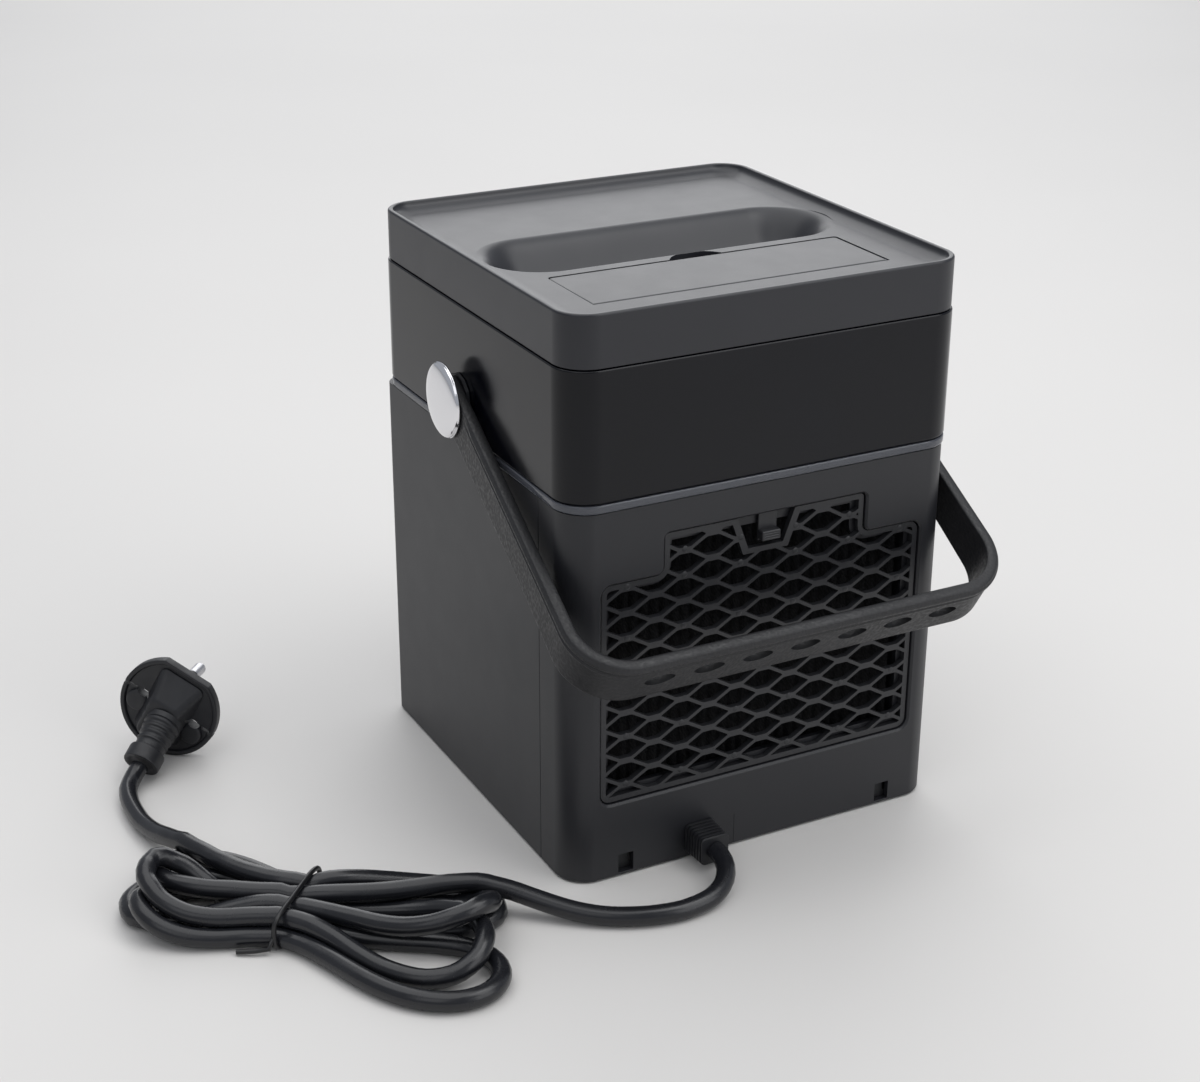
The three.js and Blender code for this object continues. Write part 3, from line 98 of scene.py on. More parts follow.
# ---------------------------------------------------------------- settings a user would change
class CoolerSizes(bpy.types.PropertyGroup):
    """Sizes of the finishing detail."""

    edge: bpy.props.FloatProperty(
        name="Edge round", description="Radius on the moulded edges of the shells",
        default=0.00035, min=0.0001, max=0.001, subtype="DISTANCE", unit="LENGTH")
    deck_fillet: bpy.props.FloatProperty(
        name="Deck fillet", description="Radius of the hollow between the lid's rim and its deck",
        default=0.0035, min=0.001, max=0.0035, subtype="DISTANCE", unit="LENGTH")
    bead: bpy.props.FloatProperty(
        name="Strap bead", description="Height of the raised bead along the strap's upper edge",
        default=0.0007, min=0.0, max=0.0015, subtype="DISTANCE", unit="LENGTH")
    cord: bpy.props.FloatProperty(
        name="Cord diameter", description="Diameter of the round mains lead",
        default=0.0069, min=0.006, max=0.008, subtype="DISTANCE", unit="LENGTH")
    cord_length: bpy.props.FloatProperty(
        name="Cord length", description="Length of the mains lead from the strain relief to the plug",
        default=1.47, min=1.0, max=2.0, subtype="DISTANCE", unit="LENGTH")


class CoolerColours(bpy.types.PropertyGroup):
    """Colours of the mouldings and the stage."""

    shell: bpy.props.FloatVectorProperty(
        name="Shell", description="Colour of the two housings", subtype="COLOR", size=3,
        min=0.0, max=1.0, default=(0.0135, 0.014, 0.017))
    lid: bpy.props.FloatVectorProperty(
        name="Lid", description="Colour of the lid and its door", subtype="COLOR", size=3,
        min=0.0, max=1.0, default=(0.0165, 0.0172, 0.0215))
    tank: bpy.props.FloatVectorProperty(
        name="Tank", description="Colour of the dark tinted tank", subtype="COLOR", size=3,
        min=0.0, max=1.0, default=(0.0012, 0.0015, 0.0036))
    strap: bpy.props.FloatVectorProperty(
        name="Strap", description="Colour of the handle's leather", subtype="COLOR", size=3,
        min=0.0, max=1.0, default=(0.015, 0.015, 0.0165))
    cord: bpy.props.FloatVectorProperty(
        name="Cord", description="Colour of the lead and the plug", subtype="COLOR", size=3,
        min=0.0, max=1.0, default=(0.0105, 0.011, 0.0135))
    floor: bpy.props.FloatVectorProperty(
        name="Floor", description="Colour of the pale floor", subtype="COLOR", size=3,
        min=0.0, max=1.0, default=(0.70, 0.685, 0.665))


def sizes():
    return bpy.context.scene.cooler_sizes


def colours():
    return bpy.context.scene.cooler_colours


# ---------------------------------------------------------------- mesh making
def make_object(name, points, faces):
    """A mesh object from an array of points in millimetres and a list of index tuples."""
    mesh = bpy.data.meshes.new(name)
    mesh.from_pydata((np.asarray(points, float) * MM).tolist(), [], faces)
    mesh.validate()
    obj = bpy.data.objects.new(name, mesh)
    bpy.context.scene.collection.objects.link(obj)
    return obj


def grid_faces(rows, columns, wrap_rows=False, wrap_columns=True):
    """Quads of a grid of points in row order: (i, j), (i, j+1), (i+1, j+1), (i+1, j)."""
    i = np.arange(rows if wrap_rows else rows - 1)
    j = np.arange(columns if wrap_columns else columns - 1)
    a, b = np.meshgrid(i, j, indexing="ij")
    a2, b2 = (a + 1) % rows, (b + 1) % columns
    quads = np.stack([a * columns + b, a * columns + b2, a2 * columns + b2, a2 * columns + b], -1)
    return [tuple(q) for q in quads.reshape(-1, 4).tolist()]


def loft(name, rings, closed=False):
    """A solid carried through rings of equal length; both ends are capped unless it closes on itself."""
    rings = np.asarray(rings, float)
    m, n = rings.shape[:2]
    faces = grid_faces(m, n, wrap_rows=closed)
    if not closed:
        faces.append(tuple(range(n - 1, -1, -1)))
        faces.append(tuple(range((m - 1) * n, m * n)))
    obj = make_object(name, rings.reshape(-1, 3), faces)
    outward(obj)
    return obj


def outward(obj):
    """Welds doubles, then turns every face of a closed shell outwards."""
    bm = bmesh.new()
    bm.from_mesh(obj.data)
    bmesh.ops.remove_doubles(bm, verts=bm.verts, dist=1e-7)
    bmesh.ops.recalc_face_normals(bm, faces=bm.faces)
    bm.to_mesh(obj.data)
    bm.free()


def rounded_rect(x0, x1, y0, y1, radii, arc=10):
    """Outline of a rectangle with its own radius at each corner, low-left first, going anticlockwise:
    each corner is an arc of centre + r (cos a, sin a)."""
    radii = np.broadcast_to(radii, 4)
    centres = [(x0 + radii[0], y0 + radii[0]), (x1 - radii[1], y0 + radii[1]),
               (x1 - radii[2], y1 - radii[2]), (x0 + radii[3], y1 - radii[3])]
    starts = np.array([180, 270, 0, 90])
    angles = np.radians(starts[:, None] + np.linspace(0, 90, arc + 1)[None])
    corner = np.stack([np.cos(angles), np.sin(angles)], -1) * np.asarray(radii)[:, None, None]
    return (corner + np.array(centres)[:, None]).reshape(-1, 2)


def plan(inset, front=CORNER, arc=10):
    """The cabinet's plan drawn in by inset; corner radii shrink by the same amount."""
    f, b = max(front - inset, 0.3), max(CORNER - inset, 0.3)
    return rounded_rect(-HX + inset, HX - inset, -HY + inset, HY - inset, [f, f, b, b], arc)


def raised(outline, z):
    """An outline in X and Y lifted to height z."""
    outline = np.asarray(outline, float)
    return np.column_stack([outline, np.full(len(outline), z)])


def facing(outline, y):
    """An outline in X and Z set at depth y."""
    outline = np.asarray(outline, float)
    return np.column_stack([outline[:, 0], np.full(len(outline), y), outline[:, 1]])


def slab_z(name, outline, z0, z1):
    """A straight prism over an outline in X and Y."""
    return loft(name, [raised(outline, z0), raised(outline, z1)])


def slab_y(name, outline, y0, y1):
    """A straight prism over an outline in X and Z."""
    return loft(name, [facing(outline, y0), facing(outline, y1)])


def block(name, low, high):
    """A plain box used as a cutter."""
    (x0, y0, z0), (x1, y1, z1) = low, high
    return slab_z(name, [(x0, y0), (x1, y0), (x1, y1), (x0, y1)], z0, z1)


def circle(u, v, radius, count=48):
    """Points of a circle: centre + r (cos a, sin a)."""
    a = np.linspace(0, 2 * np.pi, count, endpoint=False)
    return np.column_stack([u + radius * np.cos(a), v + radius * np.sin(a)])


def rod(name, axis, a, b, u, v, radius, count=32):
    """A straight round bar along X, Y or Z from a to b."""
    ring = circle(u, v, radius, count)
    return loft(name, [along(axis, ring, a), along(axis, ring, b)])


def along(axis, outline, at):
    """Sets an outline on a plane across the axis: YZ for X, XZ for Y, XY for Z."""
    column = np.full(len(outline), at)
    order = {"X": (column, outline[:, 0], outline[:, 1]), "Y": (outline[:, 0], column, outline[:, 1]),
             "Z": (outline[:, 0], outline[:, 1], column)}[axis]
    return np.column_stack(order)


def lathe(name, axis, profile, centre, count=96):
    """A shape of revolution: each profile point (along, radius) sweeps a circle about the axis."""
    rings = [along(axis, circle(0, 0, max(r, 0.01), count), a) for a, r in profile]
    return loft(name, np.array(rings) + np.asarray(centre, float))


def round_plan(profile):
    """Rings of a profile of (inset, z) carried round the cabinet's plan."""
    return [raised(plan(i, arc=16), z) for i, z in profile]


def tub(name, profile):
    """A profile of (inset, z) carried round the cabinet's plan, closed in the middle at both ends."""
    return loft(name, round_plan(profile))


def combine(obj, operation, others):
    """Applies one solid after another to a solid and removes them."""
    for other in others:
        boolean = obj.modifiers.new("combine", "BOOLEAN")
        boolean.operation = operation
        boolean.solver = "EXACT"
        boolean.object = other
        settle_modifiers(obj)
        bpy.data.objects.remove(other)
    return obj


def carve(obj, *cutters):
    """Cuts other solids out of a solid."""
    return combine(obj, "DIFFERENCE", cutters)


def fuse(obj, *others):
    """Joins other solids to a solid as one closed body."""
    return combine(obj, "UNION", others)


def keep_inside(obj, shape):
    """Keeps only what two solids share."""
    return combine(obj, "INTERSECT", [shape])


def settle_modifiers(obj):
    """Replaces the mesh with what its modifiers make of it."""
    graph = bpy.context.evaluated_depsgraph_get()
    done = bpy.data.meshes.new_from_object(obj.evaluated_get(graph))
    obj.modifiers.clear()
    old = obj.data
    obj.data = done
    bpy.data.meshes.remove(old)


def soften(obj, width, angle=32, shade=40):
    """Rounds the edges sharper than an angle, then shades by face area so that flats stay flat."""
    if width:
        bevel = obj.modifiers.new("edges", "BEVEL")
        bevel.width = width
        bevel.segments = 2
        bevel.limit_method = "ANGLE"
        bevel.angle_limit = math.radians(angle)
        bevel.use_clamp_overlap = True
        settle_modifiers(obj)
    obj.data.shade_smooth()
    obj.data.set_sharp_from_angle(angle=math.radians(shade))
    weight = obj.modifiers.new("normals", "WEIGHTED_NORMAL")
    weight.keep_sharp = True
    weight.weight = 80
    return obj


def points_of(obj):
    """Points of a mesh object, in millimetres."""
    co = np.empty(len(obj.data.vertices) * 3)
    obj.data.vertices.foreach_get("co", co)
    return co.reshape(-1, 3) / MM


def merged(name, *objs):
    """Several separate closed shells as one object."""
    points, faces, base = [], [], 0
    for obj in objs:
        points.append(points_of(obj))
        faces += [tuple(v + base for v in p.vertices) for p in obj.data.polygons]
        base += len(points[-1])
        bpy.data.objects.remove(obj)
    return make_object(name, np.concatenate(points), faces)


def finish(obj, body, material, slot, *nodes):
    """Gives a piece its material and the body it rides on, and hides the nodes it stands for; the slot is not
    used.
    """
    obj.data.materials.clear()
    obj.data.materials.append(material)
    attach(obj, body)
    if nodes:
        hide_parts(*nodes)
    return obj


# ---------------------------------------------------------------- materials
class Finish:
    """Builds one node material whose patterns read Object coordinates in metres."""

    def __init__(self, name, colour, roughness, **sockets):
        self.material = bpy.data.materials.new(name)
        self.material.use_nodes = True
        self.tree = self.material.node_tree
        self.shader = self.tree.nodes["Principled BSDF"]
        self.shader.inputs["Base Color"].default_value = (*colour, 1)
        self.shader.inputs["Roughness"].default_value = roughness
        for key, value in sockets.items():
            self.shader.inputs[key.replace("_", " ")].default_value = value
        self.colour = colour
        self.coords = self.tree.nodes.new("ShaderNodeTexCoord").outputs["Object"]
        self.last_bump = None

    def node(self, kind, **settings):
        made = self.tree.nodes.new(kind)
        for key, value in settings.items():
            setattr(made, key, value)
        return made

    def link(self, a, b):
        self.tree.links.new(a, b)

    def mapped(self, stretch):
        """Object coordinates scaled along each axis."""
        mapping = self.node("ShaderNodeMapping")
        mapping.inputs["Scale"].default_value = stretch
        self.link(self.coords, mapping.inputs["Vector"])
        return mapping.outputs["Vector"]

    def noise(self, scale, detail=3.0, roughness=0.55, stretch=(1, 1, 1)):
        """Noise of about 1/scale metres, drawn out along an axis by stretch."""
        noise = self.node("ShaderNodeTexNoise")
        noise.inputs["Scale"].default_value = scale
        noise.inputs["Detail"].default_value = detail
        noise.inputs["Roughness"].default_value = roughness
        self.link(self.mapped(stretch), noise.inputs["Vector"])
        return noise.outputs["Fac"]

    def cells(self, scale, feature="F1"):
        """Distance pattern of scattered cells, for pebbles and grains."""
        cells = self.node("ShaderNodeTexVoronoi", feature=feature)
        cells.inputs["Scale"].default_value = scale
        self.link(self.mapped((1, 1, 1)), cells.inputs["Vector"])
        return cells.outputs["Distance"]

    def spread(self, value, low, high):
        """Carries the middle of a pattern's values, 0.3 to 0.7, to another range."""
        node = self.node("ShaderNodeMapRange")
        for key, number in zip(("From Min", "From Max", "To Min", "To Max"), (0.3, 0.7, low, high)):
            node.inputs[key].default_value = number
        self.link(value, node.inputs["Value"])
        return node.outputs["Result"]

    def mottle(self, value, darker, lighter):
        """Colour between a darker and a lighter share of the base colour."""
        mix = self.node("ShaderNodeMix", data_type="RGBA")
        mix.inputs["A"].default_value = (*[c * darker for c in self.colour], 1)
        mix.inputs["B"].default_value = (*[min(c * lighter, 1) for c in self.colour], 1)
        self.link(self.spread(value, 0, 1), mix.inputs["Factor"])
        self.link(mix.outputs["Result"], self.shader.inputs["Base Color"])
        return self

    def gloss(self, value, low, high):
        """Roughness that follows a pattern."""
        self.link(self.spread(value, low, high), self.shader.inputs["Roughness"])
        return self

    def bump(self, value, depth, strength=1.0):
        """Relief of a depth in metres, laid over any relief that came before."""
        node = self.node("ShaderNodeBump")
        node.inputs["Distance"].default_value = depth
        node.inputs["Strength"].default_value = strength
        self.link(value, node.inputs["Height"])
        if self.last_bump:
            self.link(self.last_bump, node.inputs["Normal"])
        self.last_bump = node.outputs["Normal"]
        self.link(self.last_bump, self.shader.inputs["Normal"])
        return self


def moulded(name, colour, roughness, grain=0.00003, size=2600, **sockets):
    """Spark-eroded plastic: a fine grain, broad sheen variation and a faint mottle."""
    made = Finish(name, colour, roughness, **sockets)
    broad = made.noise(28, 2)
    made.mottle(broad, 0.96, 1.05)
    made.gloss(made.noise(95, 3), roughness - 0.012, roughness + 0.015)
    made.bump(made.noise(size, 2, 0.6), grain, 0.5)
    made.bump(made.noise(12, 1), 0.0001, 0.04)
    return made.material


def make_materials():
    """Every finish of the object, by a plain name."""
    c = colours()
    made = {}
    made["shell"] = moulded("Shell plastic", tuple(c.shell), 0.43, 0.00004, Specular_IOR_Level=0.5)
    made["lid"] = moulded("Lid plastic", tuple(c.lid), 0.36, 0.00004, Specular_IOR_Level=0.5)
    made["grille"] = moulded("Grille plastic", (0.019, 0.0195, 0.022), 0.4, 0.00003)
    made["inner"] = moulded("Inner plastic", (0.009, 0.0095, 0.011), 0.55, 0.00003)
    made["button"] = moulded("Button plastic", (0.045, 0.046, 0.05), 0.35, 0.00002)

    tank = Finish("Tinted tank", tuple(c.tank), 0.16, Specular_IOR_Level=0.3)
    tank.mottle(tank.noise(18, 2), 0.8, 1.35)
    tank.gloss(tank.noise(60, 4), 0.14, 0.22)
    tank.bump(tank.noise(22, 1), 0.0006, 0.05)
    made["tank"] = tank.material

    clear = Finish("Clear flange", (0.16, 0.17, 0.2), 0.05, Transmission_Weight=0.6, IOR=1.49)
    clear.gloss(clear.noise(180, 2), 0.03, 0.09)
    clear.bump(clear.noise(110, 2), 0.0004, 0.25)
    made["clear"] = clear.material

    strap = Finish("Grained leather", tuple(c.strap), 0.44, Specular_IOR_Level=0.45)
    pebbles = strap.cells(950, "SMOOTH_F1")
    strap.mottle(strap.noise(60, 3), 0.85, 1.2)
    strap.gloss(pebbles, 0.54, 0.36)
    strap.bump(pebbles, 0.00022, 0.55)
    strap.bump(strap.noise(3200, 2), 0.00004, 0.4)
    made["strap"] = strap.material

    chrome = Finish("Polished chrome", (0.82, 0.82, 0.84), 0.05, Metallic=1.0)
    chrome.gloss(chrome.noise(150, 4), 0.03, 0.09)
    chrome.bump(chrome.noise(40, 1), 0.0002, 0.04)
    made["chrome"] = chrome.material

    steel = Finish("Brushed steel", (0.55, 0.55, 0.57), 0.3, Metallic=1.0)
    steel.gloss(steel.noise(700, 3, stretch=(1, 0.05, 1)), 0.22, 0.4)
    steel.bump(steel.noise(1500, 2, stretch=(1, 0.05, 1)), 0.00003, 0.4)
    made["steel"] = steel.material

    rubber = Finish("Moulded rubber", tuple(c.cord), 0.46, Specular_IOR_Level=0.5)
    rubber.mottle(rubber.noise(70, 3), 0.85, 1.25)
    rubber.gloss(rubber.noise(260, 3), 0.38, 0.55)
    rubber.bump(rubber.noise(2400, 2), 0.00004, 0.4)
    made["rubber"] = rubber.material

    seal = Finish("Lid seal rubber", (0.2, 0.2, 0.21), 0.7)
    seal.mottle(seal.noise(90, 2), 0.9, 1.1)
    seal.bump(seal.noise(1800, 2), 0.00004, 0.5)
    made["seal"] = seal.material

    cord = Finish("Cord sheath", tuple(c.cord), 0.26, Specular_IOR_Level=0.5)
    cord.mottle(cord.noise(35, 3), 0.85, 1.3)
    cord.gloss(cord.noise(140, 3), 0.2, 0.3)
    cord.bump(cord.noise(420, 2), 0.00005, 0.3)
    made["cord"] = cord.material

    tie = Finish("Tie sheath", (0.008, 0.008, 0.009), 0.35)
    tie.gloss(tie.noise(300, 2), 0.28, 0.45)
    tie.bump(tie.noise(900, 2), 0.00006, 0.4)
    made["tie"] = tie.material

    pad = Finish("Filter paper", (0.006, 0.006, 0.007), 0.9, Sheen_Weight=0.15)
    pad.mottle(pad.noise(240, 4), 0.5, 1.8)
    pad.bump(pad.cells(700), 0.0004, 0.7)
    made["pad"] = pad.material

    board = Finish("Circuit board", (0.012, 0.06, 0.035), 0.4)
    board.mottle(board.cells(260, "DISTANCE_TO_EDGE"), 0.7, 1.6)
    board.bump(board.noise(900, 2), 0.00005, 0.5)
    made["board"] = board.material
    return made


FINISHES = {}


def finish_of(name):
    if not FINISHES:
        FINISHES.update(make_materials())
    return FINISHES[name]


# ---------------------------------------------------------------- mains lead
HANK_MIDDLE = np.array([169.0, 55.0])
HANK_ALONG = np.array([-0.743, 0.669])       # from the plug's side to the cooler's side
HANK_ACROSS = np.array([0.669, 0.743])
LAYER = 0.87                                 # height of the upper strands over the lower ones, in diameters
LEAD = [(24.8, 91.1, 8.5), (24.9, 95, 8.3), (26.2, 100.5, 7.2), (30, 106, 5.6), (36.5, 110.4, 4.4),
        (45, 112.2, 3.7), (54, 111.8, 3.6), (62.5, 109.6, 3.6), (70.5, 106, 3.6), (78, 101.8, 4.0),
        (86, 96.8, 5.2), (94.5, 91.2, 7.4), (101.6, 86.8, 9.2)]
TAIL = [(197.5, -6.5, 7.2), (198.3, -16, 5.2), (198.9, -26, 4), (199.1, -36, 3.6), (198.7, -45, 3.6),
        (197.2, -53, 3.7), (195.2, -57.4, 4), (192.6, -60.9, 5), (189.2, -63.9, 6.9)]
# Folds of the hank in the order the lead takes them: side of the tie, reach, middle across, width,
# the two strands' places at the tie (across, layer) and the layer at the far end.
FOLDS = [
    (-1, 59, -12, 36, (-0.5, 1), (-2, 0), 0.6),
    (1, 68, -9, 36, (-2, 0), (0.5, 1), 0.8),
    (-1, 58, 2, 36, (0.5, 1), (-1, 0), 0.0),
    (1, 72, 9, 36, (-1, 0), (1.5, 1), 0.5),
    (-1, 51, 4, 36, (1.5, 1), (1, 0), 1.0),
    (1, 78, 18, 36, (1, 0), (2, 0), 0.0),
    (-1, 54, 9, 36, (2, 0), (0, 0), 0.0),
    (1, 63, -16, 36, (0, 0), (-1.5, 1), 0.0),
]


def fold_points(side, reach, middle, width, start, end, layer, d):
    """One fold of the hank: two straight arms and a half circle of radius b = width / 2 between them,
    s = (reach - b) + b sin(u) and across = middle -+ b cos(u), blended into the strands' own places
    near the tie."""
    b = width / 2
    arm = np.linspace(0.3, 0.85, 4)
    turn = np.linspace(0, np.pi, 13)
    u = np.concatenate([0 * arm + 1e-3, turn, np.pi - 1e-3 + 0 * arm])
    s = np.concatenate([arm * (reach - b), reach - b + b * np.sin(turn), arm[::-1] * (reach - b)])
    order = np.sign((end[0] - start[0]) or 1.0)
    loop = middle - order * b * np.cos(u)
    strand = np.where(u < np.pi / 2, start[0], end[0]) * d
    share = np.clip(s / (0.62 * reach), 0, 1) ** 1.3
    across = strand * (1 - share) + loop * share
    level = np.where(u < np.pi / 2, start[1], end[1])
    height = d / 2 + LAYER * d * (level * (1 - share) + layer * share)
    return np.column_stack([side * s, across, height])


def hank_to_frame(points):
    """Carries (along, across, height) to the frame: middle + s e + t n."""
    points = np.asarray(points, float)
    flat = HANK_MIDDLE + points[:, :1] * HANK_ALONG + points[:, 1:2] * HANK_ACROSS
    return np.column_stack([flat, points[:, 2]])


def resampled(points, step):
    """Points at an even step along a smooth line: chord-length Catmull-Rom through the points."""
    p = np.asarray(points, float)
    p = np.vstack([2 * p[0] - p[1], p, 2 * p[-1] - p[-2]])
    t = np.linspace(0, 1, 24, endpoint=False)[:, None]
    a, b, c, d = (p[i:len(p) - 3 + i, None] for i in range(4))
    line = 0.5 * (2 * b + (c - a) * t + (2 * a - 5 * b + 4 * c - d) * t ** 2
                  + (3 * b - a - 3 * c + d) * t ** 3)
    line = np.vstack([line.reshape(-1, 3), p[-2:-1]])
    gone = np.concatenate([[0], np.cumsum(np.linalg.norm(np.diff(line, axis=0), axis=1))])
    count = int(round(gone[-1] / step)) + 1
    at = np.linspace(0, gone[-1], count)
    return np.column_stack([np.interp(at, gone, line[:, k]) for k in range(3)])


def cord_route(d):
    """The whole lead: out of the strain relief, through the hank and on to the plug, as chosen points."""
    parts = [np.array(LEAD)]
    tie = [FOLDS[0][4]] + [f[5] for f in FOLDS]
    for i, place in enumerate(tie):
        centre = np.array([[0, place[0] * d, d / 2 + LAYER * d * place[1]]])
        parts.append(hank_to_frame(centre))
        if i < len(FOLDS):
            parts.append(hank_to_frame(fold_points(*FOLDS[i], d)))
    parts.append(hank_to_frame([(-30, -15, 10.5), (-48, -21, 10.6)]))
    parts.append(np.array(TAIL))
    return np.vstack(parts), tie


def relax(line, d, held, rounds=420):
    """Lets the lead settle. Each round: bends ease towards the mean of their neighbours, strands nearer
    than a diameter push apart, nothing goes under the floor, held points stay, and steps keep length."""
    p = line.copy()
    n = len(p)
    step = np.linalg.norm(np.diff(p, axis=0), axis=1).mean()
    index = np.arange(n)
    near_self = np.abs(index[:, None] - index[None]) < int(2.2 * d / step)
    free = ~held
    for k in range(rounds):
        for reach, share in ((1, 0.9), (3, 0.55)):
            ease = np.zeros_like(p)
            m = 4 * reach
            fourth = (p[:-m] - 4 * p[reach:-3 * reach] + 6 * p[2 * reach:-2 * reach]
                      - 4 * p[3 * reach:-reach] + p[m:])
            ease[2 * reach:-2 * reach] = -fourth / 16
            p[free] += share * ease[free]
        p[free, 2] -= 0.025
        gap = p[:, None] - p[None]
        far = np.linalg.norm(gap, axis=-1) + 1e-9
        close = (far < d) & ~near_self
        push = np.where(close, (d - far) / far, 0)[..., None] * gap
        count = np.maximum(close.sum(1), 1)[:, None]
        move = 0.95 * push.sum(1) / count
        move[:, 2] *= 1.2
        p[free] += move[free]
        for _ in range(3):
            span = np.diff(p, axis=0)
            length = np.linalg.norm(span, axis=1, keepdims=True)
            fix = span * (1 - step / length) * 0.35
            moved = np.zeros_like(p)
            moved[:-1] += fix
            moved[1:] -= fix
            p[free] += moved[free]
        p[:, 2] = np.maximum(p[:, 2], d / 2 + 0.1)
    return p


def lead_line(d):
    """The settled middle line of the lead, in millimetres."""
    route, tie = cord_route(d)
    line = resampled(route, 3.2)
    places = hank_to_frame([(0, a * d, d / 2 + LAYER * d * b) for a, b in tie])
    away = np.linalg.norm(line[:, None] - places[None], axis=-1).min(1)
    held = away < 4.0
    ends = np.arange(len(line))
    held |= (ends < 12) | (ends > len(line) - 14)
    return relax(line, d, held)


def wire(name, lines, radius, roundness):
    """Round wire along one or more lines of points, its ends closed."""
    curve = bpy.data.curves.new(name, "CURVE")
    curve.dimensions = "3D"
    curve.bevel_depth = radius * MM
    curve.bevel_resolution = roundness
    curve.use_fill_caps = True
    for line in lines:
        rows = np.column_stack([line * MM, np.ones(len(line))])
        spline = curve.splines.new("POLY")
        spline.points.add(len(rows) - 1)
        spline.points.foreach_set("co", rows.ravel())
    obj = bpy.data.objects.new(name, curve)
    bpy.context.scene.collection.objects.link(obj)
    return obj


class COOLER_OT_lead(bpy.types.Operator):
    """Lay the mains lead from the strain relief through the tied hank to the plug"""

    bl_idname = "cooler.lead"
    bl_label = "Mains lead"

    def execute(self, context):
        d = sizes().cord / MM
        lead = wire("mains_lead", [lead_line(d)], d / 2, 6)
        finish(lead, "cabinet", finish_of("cord"), "cord", "cord_lead", "cord_hank", "cord_tail")
        tie = hank_tie(d)
        finish(tie, "cabinet", finish_of("tie"), "tie", "cord_tie")
        return {"FINISHED"}


def hank_tie(d):
    """Thin wire wound once round the hank's waist, its two ends twisted out at the near side."""
    r = 0.9
    half, top = 2.5 * d + r, (1 + LAYER) * d + r
    a = np.linspace(0, 2 * np.pi, 64)
    power = 0.42
    across = half * np.sign(np.cos(a)) * np.abs(np.cos(a)) ** power
    height = (top + r * 0.2) / 2 + (top - r * 0.2) / 2 * np.sign(np.sin(a)) * np.abs(np.sin(a)) ** power
    wind = np.column_stack([2.2 * np.sin(a / 2) - 1, across, np.maximum(height, r)])
    tail = np.array([(-2.5, half + 1.5, 2.2), (-7, half + 3.2, 1.8), (-13, half + 4.5, 1.3)])
    lines = [hank_to_frame(line) for line in (wind, np.vstack([wind[-3:], tail]))]
    return wire("hank_tie", lines, r, 3)


# ---------------------------------------------------------------- stage
class COOLER_OT_stage(bpy.types.Operator):
    """Set the pale floor, the soft studio light and the camera"""

    bl_idname = "cooler.stage"
    bl_label = "Floor, light and camera"

    def execute(self, context):
        camera = bpy.data.cameras.new("camera")
        camera.lens, camera.sensor_width = 63.887, 36.0
        camera.clip_start, camera.clip_end = 0.01, 50
        eye = bpy.data.objects.new("camera", camera)
        right = Vector((-0.88716, 0.46144, 0.00350))
        up = Vector((-0.18173, -0.35634, 0.91651))
        back = right.cross(up).normalized()
        turn = Matrix((right.normalized(), up.normalized(), back)).transposed()
        eye.matrix_world = Matrix.Translation((0.36302, 0.64895, 0.41260)) @ turn.to_4x4()
        context.scene.collection.objects.link(eye)
        context.scene.camera = eye

        backdrop = flat_floor()
        made = Finish("Pale floor", tuple(colours().floor), 0.6, Specular_IOR_Level=0.3)
        made.mottle(made.noise(2.2, 2), 0.985, 1.012)
        backdrop.data.materials.append(made.material)
        backdrop.data.shade_smooth()

        soft_light("over", (0.1, -0.2, 1.7), (0, 0, 0.1), 2.0, 17)
        soft_light("left", (1.6, 1.3, 1.7), (0, 0, 0.12), 1.4, 5)
        soft_light("right", (-1.1, 1.9, 1.0), (0, 0, 0.12), 1.6, 11)
        soft_light("top", (-0.7, 0.65, 1.5), (0, 0, 0.15), 1.0, 7)
        soft_light("behind", (-1.2, -2.3, 1.3), (0, 0, 0.15), 2.2, 24)
        world = bpy.data.worlds.new("studio")
        world.use_nodes = True
        world.node_tree.nodes["Background"].inputs["Color"].default_value = (0.88, 0.92, 1.0, 1)
        world.node_tree.nodes["Background"].inputs["Strength"].default_value = 0.4
        context.scene.world = world
        context.scene.view_settings.view_transform = "Standard"
        return {"FINISHED"}


def flat_floor():
    """A wide flat disc of floor at z = -0.1 mm: rings of radius r out to six metres."""
    r = np.array([0.02, 0.3, 0.8, 1.6, 3, 6]) / MM
    rings = [along("Z", circle(0, 0, radius, 64), -0.1) for radius in r]
    points = np.concatenate(rings)
    faces = grid_faces(len(r), 64)
    faces.append(tuple(range(63, -1, -1)))
    return make_object("floor", points, [f[::-1] for f in faces])


def soft_light(name, place, aim, size, power):
    """A square area light that looks at a point."""
    data = bpy.data.lights.new(name, "AREA")
    data.shape, data.size, data.energy = "SQUARE", size, power
    lamp = bpy.data.objects.new(name, data)
    lamp.location = place
    lamp.rotation_euler = (Vector(aim) - Vector(place)).to_track_quat("-Z", "Y").to_euler()
    bpy.context.scene.collection.objects.link(lamp)


# ---------------------------------------------------------------- housings
BODY_LOW, BODY_TOP = SHELL_LOW[2], SHELL_HIGH[2]
SEAM_FRONT, SEAM_BACK = FRONT_HIGH[1], SHELL_LOW[1]
GRILLE_FACE = GRILLE_HIGH[1]
POCKET_BACK = GRILLE_LOW[1] - 0.3
LEDGE_BACK = POCKET_BACK - 2.2
GRILLE_HALF = GRILLE_HIGH[0]
GRILLE_BOTTOM, GRILLE_TOP = GRILLE_LOW[2], GRILLE_HIGH[2]
GRILLE_SHOULDER, GRILLE_STEP = 114.0, 40.0
RELIEF_X = (RELIEF_LOW[0] + RELIEF_HIGH[0]) / 2
RELIEF_Z = 8.5
HOOK_X = 54.5
LATCH_FOOT, LATCH_FOOT_HALF, LATCH_TOP_HALF = 117.0, 7.0, 11.5


